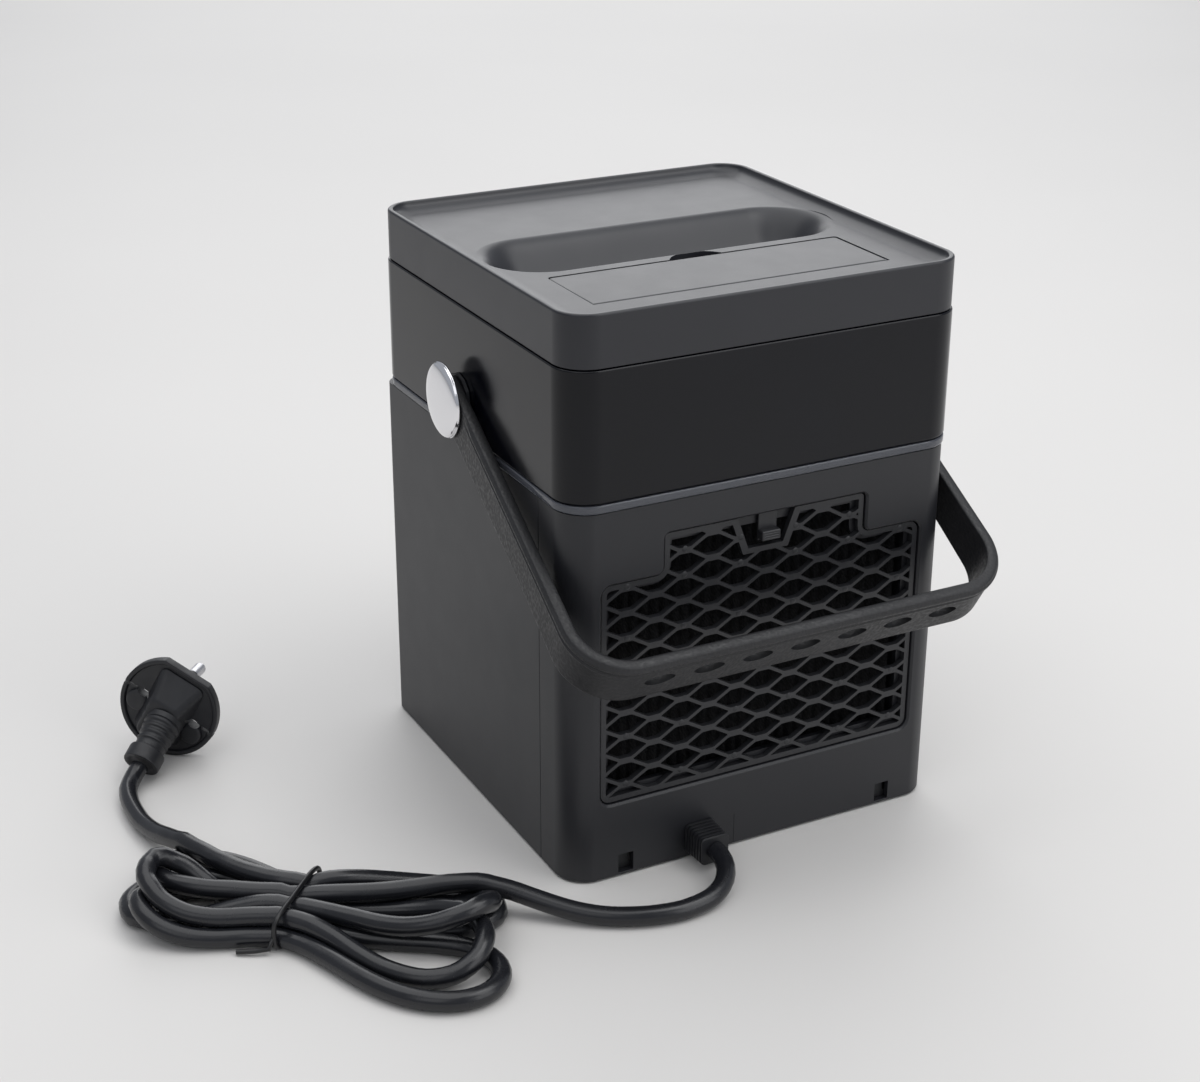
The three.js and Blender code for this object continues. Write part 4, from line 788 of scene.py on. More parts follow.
def wall_section(y0, y1):
    """Plan of a housing's wall between two depths: the cabinet's outline out, and the same drawn in by
    the wall back."""
    outer, inner = plan(0, FRONT_CORNER), plan(WALL, FRONT_CORNER)

    def stretch(line):
        line = line[(line[:, 1] > y0 + 0.01) & (line[:, 1] < y1 - 0.01)]
        cut_y = y0 if y0 > -HY else y1
        x = abs(line[:, 0]).max()
        angle = np.arctan2(line[:, 0], line[:, 1] - (y0 + y1) / 2)
        if y0 > -HY:
            line = line[np.argsort(angle)]
            return np.vstack([[-x, cut_y], line, [x, cut_y]])
        line = line[np.argsort(np.where(angle < 0, angle + 2 * np.pi, angle))]
        return np.vstack([[x, cut_y], line, [-x, cut_y]])

    return np.vstack([stretch(outer), stretch(inner)[::-1]])


def arc(cx, cy, radius, start, end, count=6):
    """Points of centre + r (cos a, sin a) from one angle to another, in degrees."""
    a = np.radians(np.linspace(start, end, count))
    return np.column_stack([cx + radius * np.cos(a), cy + radius * np.sin(a)])


def grille_outline(grow):
    """Stepped outline of the intake grille, grown all round: convex arcs widen and hollow ones tighten."""
    w, low = GRILLE_HALF + grow, GRILLE_BOTTOM - grow
    shoulder, top, step = GRILLE_SHOULDER + grow, GRILLE_TOP + grow, GRILLE_STEP + grow
    outer, crown, hollow = max(3.5 + grow, 0.4), max(1.5 + grow, 0.4), max(3 - grow, 0.4)
    right = np.vstack([
        arc(w - outer, low + outer, outer, -90, 0), arc(w - outer, shoulder - outer, outer, 0, 90),
        arc(step + hollow, shoulder + hollow, hollow, 270, 180),
        arc(step - crown, top - crown, crown, 0, 90)])
    return np.vstack([right, (right * [-1, 1])[::-1]])


def latch_notch(grow, top):
    """Trapezoid above the latch, wider at its top."""
    z, slope = LATCH_FOOT - grow, (LATCH_TOP_HALF - LATCH_FOOT_HALF) / (GRILLE_TOP - LATCH_FOOT)
    low = LATCH_FOOT_HALF + grow
    high = low + slope * (top - z)
    return np.array([(-low, z), (low, z), (high, top), (-high, top)])


class COOLER_OT_housings(bpy.types.Operator):
    """Form the front and rear housings with the outlet, the grille pocket and the lead's hole"""

    bl_idname = "cooler.housings"
    bl_label = "Housings"

    def execute(self, context):
        edge = sizes().edge / MM
        rear = slab_z("rear_shell", wall_section(SEAM_BACK, HY), BODY_LOW, BODY_TOP)
        fuse(rear, slab_y("ledge", grille_outline(4), LEDGE_BACK, HY - 1))
        lip = [facing(grille_outline(0.5), POCKET_BACK), facing(grille_outline(0.5), HY - 0.9),
               facing(grille_outline(1.3), HY - 0.1), facing(grille_outline(1.3), HY + 1)]
        carve(rear, loft("pocket", lip), slab_y("window", grille_outline(-4), LEDGE_BACK - 3, HY + 1))
        for x in (-HOOK_X, HOOK_X):
            carve(rear, block("hook_window", (x - 3, HY - 4, 1.6), (x + 3, HY + 1, 9)))
        half = 4.7
        carve(rear, block("lead_hole", (RELIEF_X - half, HY - 4, RELIEF_Z - half),
                          (RELIEF_X + half, HY + 1, RELIEF_Z + half)))
        carve(rear, block("mark", (10.0, HY - 0.3, -1), (10.35, HY + 1, 13)))
        soften(rear, edge)
        finish(rear, "cabinet", finish_of("shell"), "shell", "rear_housing")

        front = slab_z("front_shell", wall_section(-HY, SEAM_FRONT), BODY_LOW, BODY_TOP)
        mouth = rounded_rect(*MOUTH, 5)
        flare = rounded_rect(-58.6, 58.6, 39.4, 126.6, 6.6)
        carve(front, loft("mouth", [facing(flare, -HY - 1), facing(flare, -HY + 0.01),
                                    facing(mouth, -HY + 1.6), facing(mouth, -HY + 4)]))
        for x in BUTTONS.values():
            carve(front, rod("button_hole", "Y", -HY - 1, -HY + 4, x, BUTTON_Z, 5.9))
        soften(front, edge)
        finish(front, "cabinet", finish_of("shell"), "shell", "front_housing")
        return {"FINISHED"}


# ---------------------------------------------------------------- intake grille
CELL_PITCH_X, CELL_PITCH_Z = 22.1, 9.45
CELL_WIDE, CELL_TALL, CELL_FLAT = 16.6, 7.1, 4.6


def cells_cutter():
    """All the honeycomb openings as one set of hexagonal prisms on a staggered grid:
    columns half a pitch apart, odd ones half a pitch up."""
    i, j = np.meshgrid(np.arange(-7, 8), np.arange(-7, 8), indexing="ij")
    x = -1 + i * CELL_PITCH_X / 2
    z = 83.5 + (j + (i % 2) * 0.5) * CELL_PITCH_Z
    f, w, t = CELL_FLAT / 2, CELL_WIDE / 2, CELL_TALL / 2
    ring = np.array([(-w, 0), (-f, -t), (f, -t), (w, 0), (f, t), (-f, t)])
    k = 5.0
    soft = np.array([p + (q - p) / np.linalg.norm(q - p) * s / k
                     for p, a, b in zip(ring, np.roll(ring, 1, 0), np.roll(ring, -1, 0))
                     for q, s in ((a, 2.0), (b, 2.0))])
    centres = np.column_stack([x.ravel(), z.ravel()])
    outlines = centres[:, None] + soft[None]
    n, m = outlines.shape[:2]
    y = np.broadcast_to(np.array([GRILLE_LOW[1] - 1, GRILLE_FACE + 1])[None, :, None], (n, 2, m))
    points = np.stack([np.broadcast_to(outlines[:, None, :, 0], (n, 2, m)), y,
                       np.broadcast_to(outlines[:, None, :, 1], (n, 2, m))], -1).reshape(-1, 3)
    one = grid_faces(2, m) + [tuple(range(m - 1, -1, -1)), tuple(range(m, 2 * m))]
    faces = [tuple(v + 2 * m * c for v in face) for c in range(n) for face in one]
    obj = make_object("cells", points, faces)
    outward(obj)
    return obj


class COOLER_OT_grille(bpy.types.Operator):
    """Form the honeycomb intake grille, its latch and the filter behind it"""

    bl_idname = "cooler.grille"
    bl_label = "Intake grille"

    def execute(self, context):
        y0, y1 = GRILLE_LOW[1], GRILLE_FACE
        cells = keep_inside(cells_cutter(), slab_y("field", grille_outline(-2), y0 - 2, y1 + 2))
        carve(cells, slab_y("bridge", latch_notch(2, GRILLE_TOP + 3), y0 - 3, y1 + 3))
        grille = slab_y("intake_grille", grille_outline(0), y0, y1)
        carve(grille, cells, slab_y("notch", latch_notch(0, GRILLE_TOP + 2), y0 - 1, y1 + 1))
        soften(grille, 0.22, angle=25)
        finish(grille, "grille", finish_of("grille"), "grille", "filter_grille")

        studs = []
        for z in (121.9, 112.4, 93.0, 55.4, 36.6):
            for x in (54.2, 32.2, 10.0, -12.2, -34.2, -56.4):
                if z < 114 or abs(x) < 38:
                    dome = [(y1 - 0.5, 1.15), (y1 + 0.02, 1.15), (y1 + 0.14, 0.95), (y1 + 0.18, 0.4)]
                    studs.append(lathe("stud", "Y", dome, (x, 0, z), 16))
        marks = merged("grille_studs", *studs)
        soften(marks, 0, shade=50)
        finish(marks, "grille", finish_of("grille"), "grille")

        latch = rounded_block("latch_tongue", (LATCH_LOW[0], LATCH_LOW[1], LATCH_LOW[2]),
                              (LATCH_HIGH[0], LATCH_LOW[1] + 1, LATCH_HIGH[2]), 0.25)
        tab = rounded_block("tab", (LATCH_LOW[0], LATCH_LOW[1], 119.4),
                            (LATCH_HIGH[0], HY + 0.6, 123.0), 0.5)
        fuse(latch, tab)
        grip = [rod("grip", "X", LATCH_LOW[0] + 0.8, LATCH_HIGH[0] - 0.8, HY + 0.75, z, 0.3, 12)
                for z in (120.3, 121.2, 122.1)]
        carve(latch, *grip)
        soften(latch, 0)
        finish(latch, "latch", finish_of("grille"), "grille", "grille_latch")

        folds = 61
        x = np.linspace(PAD_LOW[0], PAD_HIGH[0], folds)
        high = np.arange(folds) % 2 == 1
        back = np.where(high, PAD_HIGH[1], PAD_LOW[1] + 2)
        front = np.where(high, PAD_HIGH[1] - 2, PAD_LOW[1])
        outline = np.vstack([np.column_stack([x, front]), np.column_stack([x, back])[::-1]])
        pad = slab_z("pleated_filter", outline, PAD_LOW[2], PAD_HIGH[2])
        soften(pad, 0, shade=20)
        finish(pad, "cabinet", finish_of("pad"), "pad", "evaporator_pad")
        return {"FINISHED"}


def rounded_block(name, low, high, radius):
    """A box with every edge round: rings of a rounded rectangle, drawn in by r (1 - sin a) as they
    rise r (1 - cos a)."""
    low, high = np.asarray(low, float), np.asarray(high, float)
    a = np.linspace(0, np.pi / 2, 5)
    inset = np.concatenate([radius * (1 - np.sin(a)), radius * (1 - np.cos(a))])
    z = np.concatenate([low[2] + radius * (1 - np.cos(a)), high[2] - radius * (1 - np.sin(a))])
    rings = []
    for i, h in zip(inset, z):
        outline = rounded_rect(low[0] + i, high[0] - i, low[1] + i, high[1] - i, max(radius - i, 0.05), 4)
        rings.append(raised(outline, h))
    return loft(name, rings)


# ---------------------------------------------------------------- tank and lid
OUTLET_LOW, OUTLET_HIGH = node_box("drip_outlet")
SPOUT_Y = (OUTLET_LOW[1] + OUTLET_HIGH[1]) / 2
DECK_Z = HEIGHT - 3.5
BARREL = 1.5                                 # radius of the door's barrel
POCKET_END = 59.5
HINGE_Y, HINGE_Z = POCKET_END - 0.3 - BARREL, DECK_Z - 0.1 - BARREL


class COOLER_OT_tank(bpy.types.Operator):
    """Form the tinted water tank and the clear flange under it"""

    bl_idname = "cooler.tank"
    bl_label = "Water tank"

    def execute(self, context):
        z0, z1, o = FLANGE_LOW[2], FLANGE_HIGH[2], -PROUD
        flange = tub("clear_flange", [(o + 0.6, z0), (o + 0.2, z0 + 0.15), (o, z0 + 0.6), (o, z1 - 0.6),
                                      (o + 0.2, z1 - 0.15), (o + 0.6, z1)])
        carve(flange, rod("hole", "Z", z0 - 1, z1 + 1, 0, SPOUT_Y, 5.4))
        soften(flange, 0, shade=60)
        finish(flange, "cabinet", finish_of("clear"), "clear", "tank_base")

        z0, z1 = TANK_LOW[2], TANK_HIGH[2]
        inner = WALL - PROUD
        tank = tub("tinted_tank", [
            (o + 0.9, z0), (o + 0.35, z0 + 0.2), (o, z0 + 0.9), (o, z1 - 0.6), (o + 0.2, z1 - 0.15),
            (o + 0.6, z1), (inner - 0.4, z1), (inner, z1 - 0.4), (inner, z0 + 4), (inner + 0.5, z0 + 2.9),
            (inner + 1.5, z0 + 2.5)])
        for side in (-1, 1):
            a, b = sorted((side * (HX + PROUD - WALL - 7), side * (HX - 1)))
            fuse(tank, rod("boss", "X", a, b, PIVOT[1], PIVOT[2], 7, 40))
            a, b = sorted((side * (HX + PROUD - WALL - 5), side * (HX + 3)))
            carve(tank, rod("pin_hole", "X", a, b, PIVOT[1], PIVOT[2], 3.3, 32))
        carve(tank, rod("hole", "Z", z0 - 1, z0 + 6, 0, SPOUT_Y, 5.4))
        soften(tank, 0, shade=50)
        finish(tank, "cabinet", finish_of("tank"), "tank", "water_tank")
        return {"FINISHED"}


def stadium(grow):
    """The trough's outline: a bar with fully round ends, grown all round."""
    x, y0, y1 = 67.0 + grow, -21.0 - grow, 17.6 + grow
    return rounded_rect(-x, x, y0, y1, (y1 - y0) / 2 - 0.01, 24)


class COOLER_OT_lid(bpy.types.Operator):
    """Form the lid with its rim, hollow deck edge, trough and door pocket, and the refill door"""

    bl_idname = "cooler.lid"
    bl_label = "Lid and refill door"

    def execute(self, context):
        low = LID_LOW[2] + 4.2
        a = np.linspace(0, np.pi / 2, 10)
        fall = sizes().deck_fillet / MM - 0.5
        hollow = list(zip(2.05 + 7.2 * (1 - np.cos(a)), DECK_Z + fall * (1 - np.sin(a))))
        lid = tub("lid_cover", [
            (WALL, DECK_Z - 3), (WALL, low + 0.2), (WALL - 0.2, low), (0.5, low), (0.12, low + 0.12),
            (0, low + 0.5), (0, HEIGHT - 0.9), (0.12, HEIGHT - 0.4), (0.4, HEIGHT - 0.12), (0.8, HEIGHT),
            (1.4, HEIGHT), (1.75, HEIGHT - 0.12), (1.95, HEIGHT - 0.3), *hollow])
        lip = round_plan([(4.3, LID_LOW[2]), (4.3, low + 0.02), (1.0, low + 0.02), (1.0, low + 2),
                          (6.3, low + 2), (6.3, LID_LOW[2])])
        fuse(lid, loft("lip", lip, closed=True))
        fuse(lid, block("door_ledge", (-60.5, 17, DECK_Z - 6), (60.5, 62, DECK_Z - 1)))
        fuse(lid, slab_z("cup", stadium(2), DECK_Z - 17.5, DECK_Z - 1))
        t = np.linspace(0, 1, 22)
        basin = [*zip(-15 + 18.5 * t, -15.5 * (0.5 + 0.5 * np.cos(np.pi * t)) + 0.02), (3.5, 8)]
        carve(lid, loft("basin", [raised(stadium(g), DECK_Z + z) for g, z in basin]))
        pocket = rounded_rect(-58, 58, 25, POCKET_END, [1.5, 1.5, 0.2, 0.2], 6)
        carve(lid, slab_z("pocket", pocket, DECK_Z - 3.4, HEIGHT + 3))
        carve(lid, block("throat", (-54, 29, DECK_Z - 8), (54, 55, HEIGHT + 3)))
        carve(lid, rod("finger_notch", "Z", DECK_Z - 2.4, HEIGHT + 3, 0, 31.19, 12.19, 96))
        carve(lid, rod("hinge_hole", "X", -60, 60, HINGE_Y, HINGE_Z, 1.1, 24))
        soften(lid, 0.18, angle=35, shade=45)
        finish(lid, "lid", finish_of("lid"), "lid", "top_lid")

        half, top = 57.6, HINGE_Z + BARREL
        rings = [(0.25, top - 3), (0, top - 2.7), (0, top - 0.5), (0.15, top - 0.15), (0.5, top)]
        corners = [1.2, 1.2, 0.05, 0.05]
        door = loft("refill_flap", [
            raised(rounded_rect(-half + i, half - i, 25.4 + i, HINGE_Y, corners, 6), z) for i, z in rings])
        fuse(door, rod("barrel", "X", -half, half, HINGE_Y, HINGE_Z, BARREL, 40))
        fuse(door, rod("pins", "X", -half - 1.8, half + 1.8, HINGE_Y, HINGE_Z, 0.8, 20))
        soften(door, 0)
        finish(door, "door", finish_of("lid"), "lid", "refill_door")
        return {"FINISHED"}


# ---------------------------------------------------------------- strap handle
STRAP_DROP = math.radians(31.4)
STRAP_REACH, STRAP_THICK, STRAP_CORNER = 128.6, 4.1, 21.0
ARM_OUTER, ARM_WIDE = 83.4, 85.6
EYE, UP, DOWN, ARM_DOWN = 8.2, 10.4, 9.2, 7.2


def swung(points):
    """From the strap's own plane (across, reach, up) to the frame: turned down by the rest angle
    about the pivots."""
    p = np.asarray(points, float)
    c, s = math.cos(STRAP_DROP), math.sin(STRAP_DROP)
    return np.stack([p[..., 0], PIVOT[1] + p[..., 1] * c + p[..., 2] * s,
                     PIVOT[2] - p[..., 1] * s + p[..., 2] * c], -1)


def strap_path():
    """Middle line of the strap in its plane: up one arm, round a corner, over and down the other arm."""
    h = STRAP_THICK / 2
    x0, x1, top = ARM_OUTER - h, ARM_WIDE - h, STRAP_REACH - h
    centre = (ARM_WIDE - STRAP_CORNER, STRAP_REACH - STRAP_CORNER)
    v = np.concatenate([-EYE * np.cos(np.linspace(0, np.pi / 2, 12)), np.linspace(2, centre[1], 60)])
    ease = np.clip((v - 14.8) / (centre[1] - 14.8), 0, 1)
    right = np.vstack([np.column_stack([x0 + (x1 - x0) * ease, v]),
                       arc(*centre, STRAP_CORNER - h, 0, 90, 26)[1:],
                       np.column_stack([np.linspace(centre[0] - 2, 0, 44), np.full(44, top)])])
    return np.vstack([right, (right[:-1] * [-1, 1])[::-1]])


def strap_section(bead, relief):
    """Closed outline of the strap's section as (out, across share, offset from the upper edge):
    a flat outer face with a raised bead and a groove beside it, round edges and a flat inner face."""
    h = STRAP_THICK / 2
    off = np.concatenate([np.linspace(0.9, 7.5, 40), np.linspace(8, 17.6, 12)])
    out = h + bead * np.exp(-((off - 2.2) / 1.0) ** 4) - 0.55 * relief * np.exp(-((off - 4.0) / 0.5) ** 2)
    out += 0.16 * relief * np.exp(-((off - 5.1) / 0.35) ** 2)
    turn = np.radians(np.linspace(0, 180, 11))[1:-1]
    low = np.column_stack([h * np.cos(turn), 17.7 + 0.9 * np.sin(turn) ** 0.8])
    inner = np.column_stack([np.full(14, -h), np.linspace(17.7, 0.9, 14)])
    high = np.column_stack([-h * np.cos(turn), 0.9 - 0.9 * np.sin(turn) ** 0.8])
    return np.vstack([np.column_stack([out, off]), low, inner, high])


class COOLER_OT_strap(bpy.types.Operator):
    """Form the perforated leather strap and its two chrome caps"""

    bl_idname = "cooler.strap"
    bl_label = "Strap handle"

    def execute(self, context):
        path = strap_path()
        ahead = np.gradient(path, axis=0)
        ahead /= np.linalg.norm(ahead, axis=1, keepdims=True)
        outward_side = np.column_stack([ahead[:, 1], -ahead[:, 0]])
        v = path[:, 1]
        reach = np.clip(v / STRAP_REACH, 0, 1)
        eye = np.sqrt(np.maximum(EYE ** 2 - np.minimum(v, 0) ** 2, 0.05))
        up = eye + (UP - EYE) * reach
        low = np.where(reach < 0.6, EYE + (ARM_DOWN - EYE) * reach / 0.6,
                       ARM_DOWN + (DOWN - ARM_DOWN) * ((reach - 0.6) / 0.4) ** 1.6)
        low = np.where(v < 0, eye, low)
        plain, section = strap_section(0, 0), strap_section(sizes().bead / MM, 1)
        fade = np.clip((v - 15) / 8, 0, 1)[:, None, None]
        share = section[:, 1] / 18.6
        across = up[:, None] - share[None] * (up + low)[:, None]
        out = plain[None, :, :1] + fade * (section - plain)[None, :, :1]
        flat = outward_side[:, None, :] * out + path[:, None, :]
        rings = np.concatenate([flat, across[..., None]], -1)
        strap = loft("strap", swung(rings))
        a = np.linspace(0, np.pi, 17)[:-1]
        lens = np.column_stack([5.9 * np.cos(a), 2.6 * np.sin(a) ** 1.25])
        lens = np.vstack([lens, -lens])
        for i in range(7):
            ring = lens + [(i - 3) * 18.9, 0.4]
            ends = [facing(ring, y) for y in (STRAP_REACH - STRAP_THICK - 2, STRAP_REACH + 3)]
            carve(strap, loft("slot", swung(ends)))
        carve(strap, rod("eye", "X", -95, 95, PIVOT[1], PIVOT[2], 3.4, 32))
        soften(strap, 0.22, angle=55, shade=50)
        finish(strap, "handle", finish_of("strap"), "strap", "handle_strap")

        for name, side in (("left", -1), ("right", 1)):
            t = np.linspace(0, np.pi / 2, 20)
            dome = [(0.0, 13.3), (0.12, 13.68), (0.4, 13.8), (0.8, 13.75)]
            dome += list(zip(0.95 + 2.25 * np.sin(t), 13.45 * np.cos(t) ** 0.82))
            profile = [(side * (CAP_LOW[0] + x), r) for x, r in dome]
            cap = lathe(f"chrome_cap_{name}", "X", profile, (0, PIVOT[1], PIVOT[2]), 128)
            soften(cap, 0, shade=60)
            finish(cap, "cabinet", finish_of("chrome"), "chrome", f"handle_cap_{name}")
        return {"FINISHED"}


# ---------------------------------------------------------------- outlet, fan and buttons
FRAME_LOW, FRAME_HIGH = node_box("louvre_frame")
LOUVRE_Y = FRAME_LOW[1] + 8.2
LOUVRE_PITCH = 16.8


class COOLER_OT_outlet(bpy.types.Operator):
    """Form the outlet's frame and its five louvres"""

    bl_idname = "cooler.outlet"
    bl_label = "Air outlet"

    def execute(self, context):
        y0, y1 = FRAME_LOW[1], FRAME_HIGH[1]
        outline = rounded_rect(FRAME_LOW[0], FRAME_HIGH[0], FRAME_LOW[2], FRAME_HIGH[2], 4)
        ring = slab_y("outlet_frame", outline, y0, y1)
        carve(ring, slab_y("opening", rounded_rect(*MOUTH, 1.2), y0 - 1, y1 + 1))
        heights = [MOUTH[2] + LOUVRE_PITCH * (i + 0.5) for i in range(5)]
        for z in heights:
            carve(ring, rod("bearing", "X", -63, 63, LOUVRE_Y, z, 2.0, 20))
        soften(ring, 0.35)
        finish(ring, "cabinet", finish_of("inner"), "inner", "louvre_frame")

        a = np.linspace(0, 2 * np.pi, 36, endpoint=False)
        section = np.column_stack([LOUVRE_Y + 7 * np.cos(a),
                                   0.9 * np.sign(np.sin(a)) * np.abs(np.sin(a)) ** 0.8])
        ends = ((-56.4, 0.6), (-56.2, 0.92), (-55.8, 1), (55.8, 1), (56.2, 0.92), (56.4, 0.6))
        for i, z in enumerate(heights):
            rings = [along("X", (section - [LOUVRE_Y, 0]) * [k, k] + [LOUVRE_Y, z], x) for x, k in ends]
            blade = loft(f"louvre_blade_{i + 1}", rings)
            fuse(blade, rod("stub", "X", -60, 60, LOUVRE_Y, z, 1.5, 20))
            fuse(blade, rounded_block("ear", (44, LOUVRE_Y + 5, z - 1.5),
                                      (46, LOUVRE_Y + 11.9, z + 1.5), 0.3))
            fuse(blade, rod("link_pin", "X", 45.2, 49.2, LOUVRE_Y + 10.5, z, 1.1, 16))
            soften(blade, 0)
            finish(blade, f"louvre_{i + 1}", finish_of("grille"), "grille", f"louvre_{i + 1}")
        return {"FINISHED"}


class COOLER_OT_fan(bpy.types.Operator):
    """Form the fan wheel and its round finger guard"""

    bl_idname = "cooler.fan"
    bl_label = "Fan wheel and guard"

    def execute(self, context):
        low, high = node_box("impeller")
        centre = np.array([0, 0, FAN_Z])
        y0, y1 = low[1], low[1] + 20
        hub = lathe("fan_wheel", "Y", [(y1, 14.4), (y1, 16.6), (y1 - 0.4, 17), (y0 + 2.2, 17), (y0 + 1, 16.5),
                                       (y0 + 0.3, 15.2), (y0, 13), (y0, 0.5)], centre, 64)
        carve(hub, rod("hollow", "Y", y0 + 2.6, y1 + 1, 0, FAN_Z, 14.5, 64))
        fuse(hub, rod("sleeve", "Y", y0 + 1, y1 - 4, 0, FAN_Z, 5.5, 32))
        carve(hub, rod("bore", "Y", y0 + 2, y1 + 1, 0, FAN_Z, 2.8, 24))
        blades = [fan_blade(y0 + 10, k * 2 * np.pi / 7) for k in range(7)]
        for blade in blades:
            fuse(hub, blade)
        soften(hub, 0, shade=35)
        finish(hub, "fan_wheel", finish_of("grille"), "grille", "impeller")

        low, high = node_box("finger_guard")
        y = (low[1] + high[1]) / 2
        rings = [torus("ring", radius, 0.62, y, FAN_Z) for radius in range(7, 44, 6)]
        rim = lathe("rim", "Y", [(low[1], 47.2), (low[1], 51.7), (high[1], 51.7), (high[1], 47.2)],
                    centre, 96)
        carve(rim, rod("inside", "Y", low[1] - 1, high[1] + 1, 0, FAN_Z, 47.6, 96))
        hub_disc = lathe("boss", "Y", [(low[1], 6), (low[1] + 0.1, 6.8), (high[1], 6.8), (high[1], 1)],
                         centre, 48)
        spokes = [spoke(y, k * np.pi / 4) for k in range(4)]
        guard = merged("fan_guard", rim, hub_disc, *rings, *spokes)
        soften(guard, 0, shade=50)
        finish(guard, "cabinet", finish_of("inner"), "inner", "finger_guard")
        return {"FINISHED"}


def fan_blade(y, angle):
    """One fan blade: radius r from hub to tip, twist falling with r, section a thin curved plate:
    place = r (cos t, sin t), t = sweep + along / r, depth = y + across."""
    r = np.linspace(16, 48, 14)[:, None]
    k = (r - 16) / 32
    s = np.linspace(-1, 1, 15)[None]
    pitch = np.radians(50 - 25 * k)
    chord = 15 + 14 * k - 3 * np.clip(k - 0.85, 0, 1) / 0.15
    turn = angle + 0.35 * k ** 2 + s * chord / 2 * np.cos(pitch) / r
    rise = np.clip(s * chord / 2 * np.sin(pitch), -8.9, 8.9) + 1.2 * (1 - s ** 2)
    half = 0.15 + 0.5 * np.sqrt(np.maximum(1 - s ** 2, 0))

    def side(sign):
        depth = y + rise + sign * half * np.ones_like(r)
        return np.stack([r * np.cos(turn), depth, FAN_Z + r * np.sin(turn)], -1)

    rings = np.concatenate([side(1), side(-1)[:, ::-1]], 1)
    return loft("blade", rings)


def torus(name, radius, thick, y, z):
    """A ring of round wire about Y: (R + r cos b) (cos a, sin a), depth y + r sin b."""
    a, b = np.meshgrid(np.linspace(0, 2 * np.pi, 72, endpoint=False),
                       np.linspace(0, 2 * np.pi, 10, endpoint=False), indexing="ij")
    points = np.stack([(radius + thick * np.cos(b)) * np.cos(a), y + thick * np.sin(b),
                       z + (radius + thick * np.cos(b)) * np.sin(a)], -1)
    obj = make_object(name, points.reshape(-1, 3), grid_faces(72, 10, wrap_rows=True))
    outward(obj)
    return obj


def spoke(y, angle):
    """A round bar across the guard at an angle."""
    ring = circle(0, 0, 0.6, 10)
    c, s = math.cos(angle), math.sin(angle)
    rings = [np.column_stack([t * c - ring[:, 0] * s, y + ring[:, 1], FAN_Z + t * s + ring[:, 0] * c])
             for t in (-49, 49)]
    return loft("spoke", rings)


class COOLER_OT_buttons(bpy.types.Operator):
    """Form the four push buttons, each with a dished face"""

    bl_idname = "cooler.buttons"
    bl_label = "Buttons"

    def execute(self, context):
        for key, x in BUTTONS.items():
            low, high = node_box(f"{key}_button")
            f = low[1]
            shoulder = -HY + WALL - 0.5
            profile = [(f + 0.45, 0.2), (f + 0.42, 1.6), (f + 0.3, 3.2), (f + 0.12, 4.2), (f, 4.7),
                       (f + 0.1, 5.2), (f + 0.5, 5.5), (shoulder, 5.5), (shoulder, 2.4), (high[1], 2.4),
                       (high[1], 0.3)]
            cap = lathe(f"{key}_cap", "Y", profile, (x, 0, BUTTON_Z), 64)
            soften(cap, 0, shade=50)
            finish(cap, f"{key}_key", finish_of("button"), "button", f"{key}_button")
        return {"FINISHED"}


# ---------------------------------------------------------------- strain relief and plug
class COOLER_OT_relief(bpy.types.Operator):
    """Form the ribbed strain relief where the lead leaves the rear face"""

    bl_idname = "cooler.relief"
    bl_label = "Strain relief"

    def execute(self, context):
        y0, y1 = HY + 0.3, RELIEF_HIGH[1]
        count = 6
        pitch = (y1 - y0 - 0.5) / count
        rows = []
        for i in range(count):
            a = y0 + i * pitch
            rows += [(a, 0), (a + 0.12, 0.0), (a + pitch * 0.55, 0), (a + pitch * 0.6, 0.25),
                     (a + pitch * 0.66, 1.5), (a + pitch * 0.93, 1.5), (a + pitch * 0.98, 0.3)]
        rows += [(y1 - 0.5, 0.0), (y1 - 0.15, 0.15), (y1, 0.6)]
        rings = []
        for y, inset in rows:
            taper = 0.4 * (y - y0) / (y1 - y0)
            w, t = 6 - taper - inset, 5.7 - taper * 0.6 - inset
            outline = rounded_rect(RELIEF_X - w, RELIEF_X + w, RELIEF_Z - t, RELIEF_Z + t, 1.8, 6)
            rings.append(facing(outline, y))
        relief = loft("ribbed_relief", rings)
        fuse(relief, block("neck", (RELIEF_X - 4.4, HY - 3.5, RELIEF_Z - 4.4),
                           (RELIEF_X + 4.4, y0 + 1, RELIEF_Z + 4.4)))
        fuse(relief, block("flange", (RELIEF_X - 6, RELIEF_LOW[1], RELIEF_Z - 4.2),
                           (RELIEF_X + 6, HY - 2.8, RELIEF_Z + 5.7)))
        soften(relief, 0, shade=40)
        finish(relief, "cabinet", finish_of("rubber"), "rubber", "strain_relief")
        return {"FINISHED"}


PLUG_CENTRE = np.array([171.0, -81.0, 20.3])
PLUG_AXIS = np.array([0.645, 0.762, 0.06]) / np.linalg.norm([0.645, 0.762, 0.06])
PLUG_UP = np.array([-0.403, 0.272, 0.874])
COLLAR_END = np.array([188.7, -64.4, 7.2])
COLLAR_AXIS = np.array([0.67, 0.57, -0.475]) / np.linalg.norm([0.67, 0.57, -0.475])


def turned(points, x, y, z, origin):
    """Points given along three axes, set in the frame: origin + a x + b y + c z."""
    return np.asarray(points, float) @ np.stack([x, y, z]) + origin


def plug_place(points):
    """From the plug's own axes (across, up, towards the cord) to the frame."""
    x = np.cross(PLUG_UP, PLUG_AXIS)
    x /= np.linalg.norm(x)
    return turned(points, x, np.cross(PLUG_AXIS, x), PLUG_AXIS, PLUG_CENTRE)


